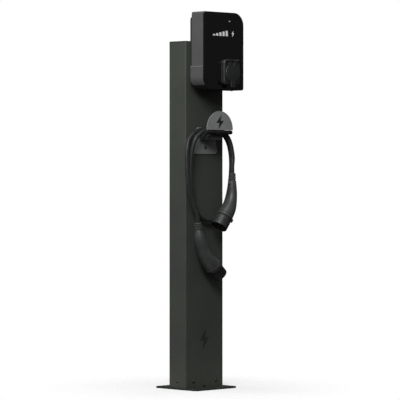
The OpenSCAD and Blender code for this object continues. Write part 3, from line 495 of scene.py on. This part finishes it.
def round_edge(size, steps=5):
    """Inset and drop along a quarter-round edge: size (1 - cos t) and size (1 - sin t), with one more
    station just inside, so that the flat beyond it shades flat."""
    t = np.linspace(0, math.pi / 2, steps)
    inset = np.append(size * (1 - np.cos(t)), size * 1.25)
    drop = np.append(size * (1 - np.sin(t)), 0.0)
    return inset, drop


def circles_facing(outline, x, z, stations):
    """Circles round (x, z), one for each (radius, y), with one point on the line to each point of an
    outline round them."""
    away = np.arctan2(outline[:, 1] - z, outline[:, 0] - x)
    return [np.stack([x + r * np.cos(away), np.full(len(away), float(y)), z + r * np.sin(away)], axis=1)
            for r, y in stations]


def slab_rings(outline_at, y_back, y_front, back_edge, front_edge):
    """Rings of a slab that faces -y, with quarter-round back and front edges."""
    rings = []
    inset, drop = round_edge(back_edge)
    for i, d in zip(inset[::-1], drop[::-1]):
        rings.append(at_y(outline_at(i), y_back - d))
    inset, drop = round_edge(front_edge)
    for i, d in zip(inset, drop):
        rings.append(at_y(outline_at(i), y_front + d))
    return rings


def turned(profile, centre, axis, sides=64):
    """A profile of (radius, distance along axis) turned round a line through centre."""
    axis = np.array(axis, float) / np.linalg.norm(axis)
    helper = np.array([0.0, 1.0, 0.0]) if abs(axis[1]) < 0.9 else np.array([1.0, 0.0, 0.0])
    u = np.cross(axis, helper)
    u /= np.linalg.norm(u)
    v = np.cross(axis, u)
    t = np.linspace(0, 2 * math.pi, sides, endpoint=False)
    ring = np.cos(t)[:, None] * u + np.sin(t)[:, None] * v
    profile = np.array(profile, float)
    return np.array(centre, float) + profile[:, :1, None] * ring + profile[:, 1:, None] * axis


def prism_x(outline, x0, x1, edge):
    """A (y, z) outline carried along x, its ends rounded by shrinking it towards its middle."""
    middle = outline.mean(axis=0)
    reach = np.linalg.norm(outline - middle, axis=1).mean()
    inset, drop = round_edge(edge, 4)
    stations = [(i, x0 + d) for i, d in zip(inset[::-1], drop[::-1])]
    stations += [(i, x1 - d) for i, d in zip(inset, drop)]
    rings = [middle + (outline - middle) * (1 - i / reach) for i, _ in stations]
    return np.stack([np.column_stack([np.full(len(r), x), r]) for r, (_, x) in zip(rings, stations)])


def catmull_rom(p, i, t):
    """Smooth curve through the rows of p, t of the way from row i to the next."""
    a, b = p[np.maximum(i - 1, 0)], p[i]
    c, d = p[i + 1], p[np.minimum(i + 2, len(p) - 1)]
    return 0.5 * (2 * b + (c - a) * t + (2 * a - 5 * b + 4 * c - d) * t ** 2
                  + (3 * b - a - 3 * c + d) * t ** 3)


def smooth_radii(values, share):
    """A smooth curve through values at equal spaces, read at shares from 0 to 1."""
    values = np.array(values, float)
    place = np.clip(share, 0, 1) * (len(values) - 1)
    i = np.minimum(place.astype(int), len(values) - 2)
    return catmull_rom(values, i, place - i)


# ---------------------------------------------------------------- cable and plugs

def plug_line(start, bend, s):
    """Points and directions on a plug's middle line s millimetres from its boot's mouth: a straight run, an
    arc in the plane of x and z, and a straight run again."""
    angle, first, radius, turn, _ = bend
    arc = abs(radius * math.radians(turn))
    side = 1 if turn < 0 else -1
    a0 = math.radians(angle)
    s = np.asarray(s, float)
    run = np.minimum(s, first)
    bent = np.clip(s - first, 0, arc)
    last = np.maximum(s - first - arc, 0)
    a = a0 + math.radians(turn) * bent / arc
    x = -math.sin(a0) * run + side * radius * (math.cos(a0) - np.cos(a)) - np.sin(a) * last
    z = -math.cos(a0) * run - radius * np.abs(np.sin(a) - math.sin(a0)) - np.cos(a) * last
    points = np.array(start) + np.stack([x, np.zeros_like(x), z], axis=1)
    ways = np.stack([-np.sin(a), np.zeros_like(a), -np.cos(a)], axis=1)
    return points, ways


def plug_length(bend):
    """Length of a plug's middle line from its boot's mouth to its collar."""
    return bend[1] + abs(bend[2] * math.radians(bend[3])) + bend[4]


def smooth_line(points, per_span):
    """A smooth curve through the points, per_span steps between each two."""
    p = np.array(points, float)
    i = np.repeat(np.arange(len(p) - 1), per_span)
    t = np.tile(np.arange(per_span) / per_span, len(p) - 1)[:, None]
    return np.vstack([catmull_rom(p, i, t), p[-1:]])


def tube_grid(path, radius, sides):
    """Rings of a round tube along a path. Each ring's frame is the last one's, turned the least that the
    path needs, so that lines along the tube don't twist."""
    ways = np.gradient(path, axis=0)
    ways /= np.linalg.norm(ways, axis=1)[:, None]
    u = np.cross(ways[0], [0.0, 1.0, 0.0])
    u /= np.linalg.norm(u)
    frames = []
    for way in ways:
        u = u - way * np.dot(u, way)
        u /= np.linalg.norm(u)
        frames.append((u, np.cross(way, u)))
    frames = np.array(frames)
    t = np.linspace(0, 2 * math.pi, sides, endpoint=False)
    ring = np.cos(t)[None, :, None] * frames[:, None, 0] + np.sin(t)[None, :, None] * frames[:, None, 1]
    return path[:, None, :] + radius * ring


def plug_grid(start, bend, s, radius):
    """Rings of a plug's body: the middle line at s, with radius(s, t) in the direction
    cos t (across, in the bend's plane) + sin t (towards +y)."""
    points, ways = plug_line(start, bend, s)
    across = np.stack([-ways[:, 2], np.zeros(len(s)), ways[:, 0]], axis=1)
    t = np.linspace(0, 2 * math.pi, 72, endpoint=False)
    r = radius(s[:, None], t[None, :])
    ring = np.cos(t)[None, :, None] * across[:, None] + np.sin(t)[None, :, None] * np.array([0, 1.0, 0])
    return points[:, None] + r[..., None] * ring


def bump_at(value, centre, width):
    """A smooth hump: exp(-((value - centre) / width)^2)."""
    return np.exp(-((value - centre) / width) ** 2)


def turn_from(t, centre):
    """Angle from centre, the short way round."""
    return np.abs((t - centre + math.pi) % (2 * math.pi) - math.pi)


def make_cable(plug_1, plug_2):
    """The charging cable, a tube that runs on CABLE_IN millimetres inside each plug."""
    inside = np.linspace(0, BOOT_LEN + CABLE_IN, 16)[1:]
    first = plug_line(plug_2, PLUG_2_BEND, inside)[0][::-1]
    last = plug_line(plug_1, PLUG_1_BEND, inside)[0]
    path = np.vstack([first * MM, smooth_line(CABLE_ROUTE, 12), last * MM])
    grid = tube_grid(path, CABLE_D / 2, CABLE_SIDES)
    cable = piece("charging_cable_sheath", [shell(grid / MM)], "cable",
                  ["charging_cable"])
    steps = np.linalg.norm(np.diff(path, axis=0), axis=1)
    along = np.concatenate([[0], np.cumsum(steps)])
    write_cable_uv(cable.data, along)
    return cable, path, float(along[-1])


def write_cable_uv(mesh, along):
    """UV of the sheath: u once round it, v the metres along it. Each vertex lies on a ring, in order."""
    index = np.empty(len(mesh.loops), np.int32)
    mesh.loops.foreach_get("vertex_index", index)
    u = index % CABLE_SIDES / CABLE_SIDES
    v = along[np.minimum(index // CABLE_SIDES, len(along) - 1)]
    # the last face round each ring closes at u = 1, not at 0
    starts = np.empty(len(mesh.polygons), np.int32)
    totals = np.empty(len(mesh.polygons), np.int32)
    mesh.polygons.foreach_get("loop_start", starts)
    mesh.polygons.foreach_get("loop_total", totals)
    owner = np.repeat(np.arange(len(starts)), totals)
    order = np.argsort(np.repeat(starts, totals), kind="stable")
    highest = np.zeros(len(starts))
    np.maximum.at(highest, owner[order], u)
    wraps = (highest[owner[order]] > 0.9) & (u < 0.1) & (totals[owner[order]] == 4)
    u = np.where(wraps, u + 1, u)
    layer = mesh.uv_layers.new(name="along")
    layer.data.foreach_set("uv", np.stack([u, v], axis=1).astype(np.float32).ravel())


def make_boot(name, start, bend, node):
    """Strain relief: a short rubber sleeve with four rings, each cut by three slots that take turns from
    ring to ring. Radius: a slow taper, less 2.2 mm in the grooves between rings, and 0.9 mm in a slot."""
    s = np.linspace(0, BOOT_LEN, 97)

    def radius(s, t):
        taper = BOOT_R - 0.6 + 1.3 * s / BOOT_LEN
        pitch = BOOT_LEN / 4
        in_ring = (s % pitch) / pitch
        ring = np.clip((in_ring - 0.60) / 0.12, 0, 1) * np.clip((1.0 - in_ring) / 0.10, 0, 1)
        turn = np.floor(s / pitch) % 2 * math.pi / 3
        near = np.cos(3 * (t - turn)) > 0.80
        slot = np.where(near & (s > 2) & (s < BOOT_LEN - 3), 1.0, 0.0)
        mouth = 1.6 * bump_at(s, 0, 1.2)
        return taper - 2.2 * ring - 0.9 * slot * (1 - ring) - mouth

    grid = plug_grid(start, bend, s, radius)
    return piece(name, [shell(grid)], "boot", [node], crisp=50)


def make_handle(name, start, bend, radii, node, back, hollow, band, sleeve):
    """Plug body. Radius: the given swell, a mould line 0.3 mm deep in the bend's plane, a thumb rest hollow
    millimetres deep across the inside of the bend, fine grip ribs on both flanks, a band raised by band
    millimetres before the front groove, and a screw boss by the boot. back is the angle of the bend's
    inside. Where sleeve is not 0 the last 12 mm are that much thinner, with 24 lengthwise grips."""
    length = plug_length(bend)
    s = np.linspace(BOOT_LEN, length, 260)

    def radius(s, t):
        share = (s - BOOT_LEN) / (length - BOOT_LEN)
        swell = smooth_radii(radii, share)
        shoulder = 1.4 * bump_at(s, BOOT_LEN, 1.6)
        line = 0.3 * (bump_at(turn_from(t, 0), 0, 0.03) + bump_at(turn_from(t, math.pi), 0, 0.03))
        rest = hollow * bump_at(share, 0.62, 0.3) * bump_at(turn_from(t, back), 0, 1.0)
        flank = np.maximum(bump_at(turn_from(t, math.pi / 2), 0, 0.42),
                           bump_at(turn_from(t, -math.pi / 2), 0, 0.42))
        window = np.clip((share - 0.28) / 0.04, 0, 1) * np.clip((0.66 - share) / 0.04, 0, 1)
        ribs = 0.42 * window * np.clip(flank * 3 - 1.2, 0, 1) * (0.5 - 0.5 * np.cos(s * 2 * math.pi / 5))
        groove = 1.5 * bump_at(s, length - 12, 1.3)
        raised = band * np.exp(-((s - length + 15) / 2.2) ** 4)
        end = np.clip((s - length + 12) / 0.8, 0, 1) * (sleeve > 0)
        grips = end * (sleeve + 0.5 * np.clip(np.cos(24 * t) * 2 - 0.6, 0, 1))
        lip = 2.8 * bump_at(s, length, 2.2)
        boss = 4.4 * np.clip(1.6 * np.exp(-((s - BOOT_LEN - 9) / 4.5) ** 4)
                             * np.exp(-(turn_from(t, back) / 0.28) ** 4), 0, 1)
        return swell - shoulder - line - rest - ribs - groove + raised - lip + boss - grips

    grid = plug_grid(start, bend, s, radius)
    return piece(name, [shell(grid)], "plug", [node], crisp=50)


def collar_frame(start, bend, turn):
    """A collar's base, its direction, and the direction out of its side at the angle turn from the bend's
    outside."""
    mouth, way = plug_line(start, bend, np.array([plug_length(bend)]))
    across = np.array([-way[0][2], 0.0, way[0][0]])
    out = math.cos(turn) * across + math.sin(turn) * np.array([0, 1.0, 0])
    return mouth[0] + way[0] * SEAL_W, way[0], out


def make_collar(name, start, bend, r, length, node, grips, key_turn, finish):
    """Plug front: an open sleeve turned from a profile, with shallow grips cut round its outside, and a
    round black key just behind it, at the angle key_turn round it from the bend's outside."""
    base, way, key_out = collar_frame(start, bend, key_turn)
    inner = r - COLLAR_WALL
    profile = [(0.01, 5), (inner - 0.6, 5), (inner, 5.6), (inner, length - 1.2), (inner + 0.9, length - 0.1),
               (inner + 1.3, length), (r - 1.4, length), (r - 0.5, length - 0.4), (r, length - 1.6)]
    profile += [(r, s) for s in np.linspace(length - 2.2, 2.6, 26)]
    profile += [(r - 0.3, 1.8), (r - 1.2, 0.6), (r - 2.4, 0), (0.01, 0)]
    grid = turned(profile, base, way, 120)
    if grips:
        depth = np.zeros(len(profile))
        depth[10:34] = np.clip(np.minimum(np.arange(24), np.arange(24)[::-1]) / 3, 0, 1)
        t = np.linspace(0, 2 * math.pi, 120, endpoint=False)
        wave = np.clip(np.cos(t * grips) * 2 - 0.6, 0, 1)
        centre = base + np.array([p[1] for p in profile])[:, None] * way
        out = grid - centre[:, None]
        grid = centre[:, None] + out * (1 - (0.9 / r) * depth[:, None, None] * wave[None, :, None])
    key = turned([(0.01, 0), (6.6, 0), (6.6, 4.4), (5.2, 6.0), (0.01, 6.0)],
                 base - way * 6 + key_out * (r - 1.6), key_out, 32)
    return [piece(name, [shell(grid)], finish, [node], crisp=32),
            piece(name + "_key", [shell(key)], "rubber", crisp=32)]


def make_collar_screw(name, start, bend, r, s, turn):
    """A recessed black screw in a collar's side, s millimetres from its seal: a turned cup 0.5 mm proud, set
    at the angle turn round the collar from the bend's outside."""
    base, way, out = collar_frame(start, bend, turn)
    profile = [(0.01, 0), (3.4, 0), (3.4, 1.2), (2.8, 1.5), (2.2, 1.2), (1.9, 0.5), (0.01, 0.5)]
    cup = turned(profile, base + way * s + out * (r - 1.0), out, 32)
    return piece(name, [shell(cup)], "rubber")


def make_cable_set():
    """Both plugs and the cable between them."""
    plug_2 = np.array(CABLE_ROUTE[0]) / MM
    plug_1 = np.array(CABLE_ROUTE[-1]) / MM
    pieces = [
        make_boot("plug_1_sleeve", plug_1, PLUG_1_BEND, "plug_1_boot"),
        make_handle("plug_1_body", plug_1, PLUG_1_BEND, PLUG_1_RADII, "plug_1_handle", math.pi,
                    1.2, 0.4, 0),
        *make_collar("plug_1_shroud", plug_1, PLUG_1_BEND, 28.5, 36, "plug_1_collar", 0, -0.68,
                     "plug_front"),
        make_boot("plug_2_sleeve", plug_2, PLUG_2_BEND, "plug_2_boot"),
        make_handle("plug_2_body", plug_2, PLUG_2_BEND, PLUG_2_RADII, "plug_2_handle", 0, 10.0,
                    1.0, 2.2),
        *make_collar("plug_2_shroud", plug_2, PLUG_2_BEND, 26, 32, "plug_2_collar", 24, math.pi,
                     "insert"),
    ]
    pieces.append(make_collar_screw("plug_1_set_screw", plug_1, PLUG_1_BEND, 28.5, 16, -1.95))
    cable, path, length = make_cable(plug_1, plug_2)


make_cable_set()


# ---------------------------------------------------------------- charger

def flash_outline(x, z, h):
    """A lightning flash h high, centred at (x, z)."""
    s = h / 10
    shape = np.array([(1.2, 5), (-2.7, -0.6), (-0.4, -0.6), (-1.2, -5), (2.7, 0.9), (0.4, 0.9)]) * s
    return shape + np.array([x, z])


def make_front_panel():
    """Glossy front: a slab with two wide and two tight corners, a quarter-round front edge and a round
    opening for the socket. Its face lies a hair behind the printed marks."""
    low, high = corners("front_panel")
    x, _, z = middle("socket_insert")
    hole_r = 33.3
    radii = (43, 7.5, 43, 7.5)

    def outline_at(inset):
        return rounded_outline(low[0], low[2], high[0], high[2], radii, inset)

    y_front, y_back = low[1] + 0.08, high[1]
    rings = slab_rings(outline_at, y_back, y_front, 0.3, 1.6)
    rings += circles_facing(outline_at(0), x, z, [(hole_r + 0.5, y_front), (hole_r, y_front + 0.5),
                                                  (hole_r, y_back)])
    return piece("front_glass", [shell(np.stack(rings), loop=True)], "gloss",
                 ["front_panel"])


def make_status_lens():
    """Domed light guide: a turned profile 0.6 mm proud of the panel."""
    centre = middle("status_lens")
    centre[1] = corners("status_lens")[0][1]
    t = np.linspace(0, math.pi / 2, 7)
    dome = [(2.4 * math.cos(a), 0.1 + 0.55 * math.sin(a)) for a in t[:-1]]
    profile = [(0.01, -8.0), (2.4, -8.0)] + dome + [(0.01, 0.65)]
    return piece("status_light", [shell(turned(profile, centre, (0, -1, 0), 40))], "lens",
                 ["status_lens"])


def make_socket_block():
    """Socket body: a soft-edged block round a deep bore, its tube through the panel with a window for the
    lock pin, and two hinge knuckles whose sides run down into the block like a tear drop."""
    low, high = corners("socket_housing")
    x, _, z = middle("socket_insert")
    bore_r, tube_r, floor_t = 28, 33, 4
    face = low[1] + 8
    back = face + 17
    side = 38

    def outline_at(inset):
        return rounded_outline(x - side, z - 40, x + side, z + 45, (12, 12, 12, 12), inset)

    lock_low, lock_high = corners("lock_pin")
    half_gap = (lock_high[1] - lock_low[1]) / 2 + 0.5
    near, far = middle("lock_pin")[1] + np.array([-half_gap, half_gap])
    outline = outline_at(0)
    front = circles_facing(outline, x, z, [(tube_r, near), (tube_r, back)])
    front += slab_rings(outline_at, back, face, 0.8, 4.5)
    front += circles_facing(outline, x, z, [(bore_r + 3.2, face), (bore_r + 2.6, face + 0.1),
                                            (bore_r + 0.6, face + 1.2), (bore_r, face + 2.4),
                                            (bore_r, near)])
    bottom = high[1] - floor_t
    cup = circles_facing(outline, x, z, [(0.3, high[1]), (tube_r, high[1]), (tube_r, far), (bore_r, far),
                                         (bore_r, bottom), (0.3, bottom)])
    gap = math.asin(half_gap / bore_r)
    t = np.linspace(math.pi / 2 + gap, math.pi * 5 / 2 - gap, 90)[:, None]
    across, deep = np.array([bore_r, tube_r, tube_r, bore_r]), np.array([near, near, far, far])
    hoop = np.stack([x + across * np.cos(t), deep + 0 * t, z + across * np.sin(t)], axis=2)
    shells = [shell(np.stack(front), True), shell(np.stack(cup)), shell(hoop)]
    pin_low, pin_high = corners("hinge_pin")
    _, y_pin, z_pin = middle("hinge_pin")
    t = np.radians(np.linspace(-90, 90, 14))
    nose = np.stack([y_pin - 4 * np.cos(t), z_pin + 4 * np.sin(t)], axis=1)
    drop = np.vstack([nose, [(face + 1, z_pin + 4), (face + 1, z_pin - 8), (face - 0.4, z_pin - 7)]])
    for x0 in (pin_low[0], pin_high[0] - 8):
        shells.append(shell(prism_x(drop, x0, x0 + 8, 0.8)))
    return piece("socket_body", shells, "socket", ["socket_housing"])


def make_flap():
    """Socket flap: a thick disc with a rounded rim, a lifting tab below it and two hinge barrels whose arms
    widen into the disc. The front is a shallow dome, 1.7 (1 - (r / R)^2) high, from a quarter-round rim."""
    low, high = corners("flap")
    x, _, z = middle("socket_insert")
    r = (high[0] - low[0]) / 2
    pin_low, pin_high = corners("hinge_pin")
    _, y_pin, z_pin = middle("hinge_pin")
    back = corners("flap_seal")[0][1]
    front = back - 6
    depth = back - front
    t = np.linspace(0, math.pi / 2, 7)
    rise = 1.7
    rim = [(r - 2.2 + 2.2 * math.cos(a), depth - rise - 2.2 + 2.2 * math.sin(a)) for a in t]
    dish = [((r - 2.2) * k, depth - rise + rise * (1 - k * k)) for k in np.linspace(0.97, 0.01, 18)]
    profile = [(0.3, 0), (r - 0.9, 0), (r - 0.3, 0.2), (r, 0.9)] + rim + dish
    shells = [shell(turned(profile, (x, back, z), (0, -1, 0), 96))]

    def tab_at(inset):
        return rounded_outline(x - 11, low[2], x + 11, z - r + 9, (5, 5, 1, 1), inset, 8, 2)

    shells.append(shell(np.stack(slab_rings(tab_at, front + 5.2, front + 1.0, 0.6, 1.4))))
    # a barrel, and its arm that runs down behind the rim
    t = np.radians(np.linspace(-60, 150, 18))
    barrel = np.stack([y_pin - 3.3 * np.cos(t), z_pin + 3.3 * np.sin(t)], axis=1)
    arm = np.vstack([barrel, [(back - 0.4, z_pin - 3.6), (back - 0.4, z + r - 10), (front + 0.6, z + r - 10),
                              (front + 0.3, z + r - 3)]])
    shells.append(shell(prism_x(arm, pin_low[0] + 8.3, pin_low[0] + 22, 0.7)))
    shells.append(shell(prism_x(arm, pin_high[0] - 22, pin_high[0] - 8.3, 0.7)))
    return piece("socket_flap", shells, "socket", ["flap"], body="flap_body")


# ---------------------------------------------------------------- cable holder

def sheet_piece(name, rows, across, thick, finish, nodes=()):
    """A bent sheet: at each row (half width, y, z) it runs from minus to plus the half width in across
    steps, with a wall of the given thickness round it and edges rounded by 0.7 mm."""
    t = np.linspace(-1, 1, across)
    grid = np.stack([rows[:, :1] * t, np.repeat(rows[:, 1:2], across, 1),
                     np.repeat(rows[:, 2:], across, 1)], axis=-1)
    i, j = np.arange(len(rows) - 1)[:, None], np.arange(across - 1)[None, :]
    k = i * across + j
    faces = np.stack([k, k + 1, k + across + 1, k + across], axis=-1).reshape(-1, 4).tolist()
    made = piece(name, [(grid.reshape(-1, 3), faces)], finish, nodes, crisp=30, sheet=True)
    wall = made.modifiers.new("thickness", "SOLIDIFY")
    wall.thickness = thick * MM
    wall.offset = 0
    wall.use_even_offset = True
    edge = made.modifiers.new("edges", "BEVEL")
    edge.width = 0.7 * MM
    edge.segments = 3
    edge.limit_method = "ANGLE"
    edge.angle_limit = math.radians(50)
    return made


def make_holder_front():
    """Front of the holder: a flat plate with a half-round top, x = R cos a and z = R sin a, and below it a
    black round-ended roll, a turned profile, whose black is painted shade: it stands for the dark band of
    shade under the plate's lower edge."""
    low, high = corners("holder_front_plate")
    thick = 3
    half = (high[0] - low[0]) / 2
    bead_r = 7
    lip_z = low[2] + HOLDER_LIP + 2 * bead_r
    y_mid = low[1] + thick / 2 - 0.06
    straight = high[2] - half - lip_z
    rise = np.array([0.4, 1.2, straight * 0.5, straight])
    flat = np.stack([np.full(4, half), np.full(4, y_mid), lip_z + rise], axis=1)
    a = np.linspace(0, math.pi / 2, 40)[1:]
    top = np.stack([half * np.cos(a), np.full(39, y_mid), lip_z + straight + half * np.sin(a)], axis=1)
    sheet_piece("holder_front_sheet", np.vstack([flat, top]), 41, thick, "holder",
                ["holder_front_plate"])
    bead = np.array([0, low[1] + bead_r, lip_z - bead_r])
    end = np.linspace(0, math.pi / 2, 7)
    right = [(bead_r - 2 + 2 * math.cos(a), half - 2 + 2 * math.sin(a)) for a in end]
    profile = [(0.01, -half)] + [(r, -x) for r, x in right[::-1]] + right + [(0.01, half)]
    # black roll: painted shade for the dark band under the plate's lower edge
    piece("holder_edge_roll", [shell(turned(profile, bead, (1, 0, 0), 48))], "rubber",
          ["holder_front_plate"])


def make_holder_mark():
    """A dark flash let into the holder's front plate, 0.12 mm proud."""
    low = corners("holder_front_plate")[0]
    outline = flash_outline(0, low[2] + HOLDER_LIP + 41, 50) * np.array([1.35, 1])
    front = low[1] - 0.18
    rings = np.stack([at_y(outline, front + 0.5), at_y(outline, front)])
    return piece("holder_mark", [shell(rings)], "print_dark", crisp=20)


make_front_panel()
make_status_lens()
make_socket_block()
make_flap()
make_holder_front()
make_holder_mark()
dress_nodes()


# ---------------------------------------------------------------- studio

def make_floor():
    """A plain pale floor: white paper that thins out into the white round it within a metre of the post."""
    size = 2
    mesh = bpy.data.meshes.new("floor")
    mesh.from_pydata([(-size, -size, 0), (size, -size, 0), (size, size, 0), (-size, size, 0)], [],
                     [(0, 1, 2, 3)])
    material, tree, shader = new_material("floor_paper", Base_Color=srgb("f4f4f4"), Roughness=0.9,
                                          Specular_IOR_Level=0.1)
    away = add_node(tree, "ShaderNodeVectorMath", {0: coordinate(tree)}, operation="LENGTH")
    fade = spread(tree, away.outputs["Value"], 0.4, 0.0, 0.12, 0.6, interpolation_type="SMOOTHSTEP")
    drive(tree, shader, Alpha=fade)
    mesh.materials.append(material)
    add_object("floor", mesh)


def soft_light(name, place, aim, size, power, mirrored=True):
    """A square softbox at place that faces aim. Reflections show it if mirrored."""
    data = bpy.data.lights.new(name, "AREA")
    data.shape = "SQUARE"
    data.size = size
    data.energy = power
    light = add_object(name, data)
    light.location = place
    light.visible_camera = False
    light.visible_glossy = mirrored
    way = np.array(aim, float) - np.array(place, float)
    light.rotation_euler = (math.atan2(math.hypot(way[0], way[1]), -way[2]), 0,
                            math.atan2(way[1], way[0]) - math.pi / 2)


def make_world():
    """White paper behind, and round the post a studio that is bright on the left and above and dim on the
    right, which the camera doesn't see."""
    world = bpy.data.worlds.new("studio")
    bpy.context.scene.world = world
    world.use_nodes = True
    tree = world.node_tree
    tree.nodes.clear()
    way = coordinate(tree, "Generated")
    side = spread(tree, part_of(tree, way, "X"), 0.55, 0.13, -0.9, 0.35, interpolation_type="SMOOTHSTEP")
    above = spread(tree, part_of(tree, way, "Z"), 0.1, 1.0, -0.35, 0.5, interpolation_type="SMOOTHSTEP")
    glow = maths(tree, "MULTIPLY", side, above)
    studio = add_node(tree, "ShaderNodeBackground", {"Color": (1, 1, 1, 1), "Strength": glow})
    paper = add_node(tree, "ShaderNodeBackground", {"Color": (1, 1, 1, 1), "Strength": 1.0})
    seen = add_node(tree, "ShaderNodeLightPath").outputs["Is Camera Ray"]
    mixed = add_node(tree, "ShaderNodeMixShader", {0: seen, 1: studio.outputs["Background"],
                                                   2: paper.outputs["Background"]})
    add_node(tree, "ShaderNodeOutputWorld", {"Surface": mixed.outputs["Shader"]})


make_floor()
make_world()
soft_light("key", (-1.5, -1.12, 1.95), (0, 0, 0.85), 0.8, 33)
soft_light("top", (-0.3, -0.6, 3.6), (0, 0, 0.5), 1.6, 22)
soft_light("right_fill", (2.9, 0.7, 1.7), (0, 0, 0.7), 1.8, 26, False)
soft_light("back_fill", (-1.0, 2.9, 1.8), (0, 0, 0.7), 1.8, 30, False)
bpy.context.scene.view_settings.view_transform = "Standard"
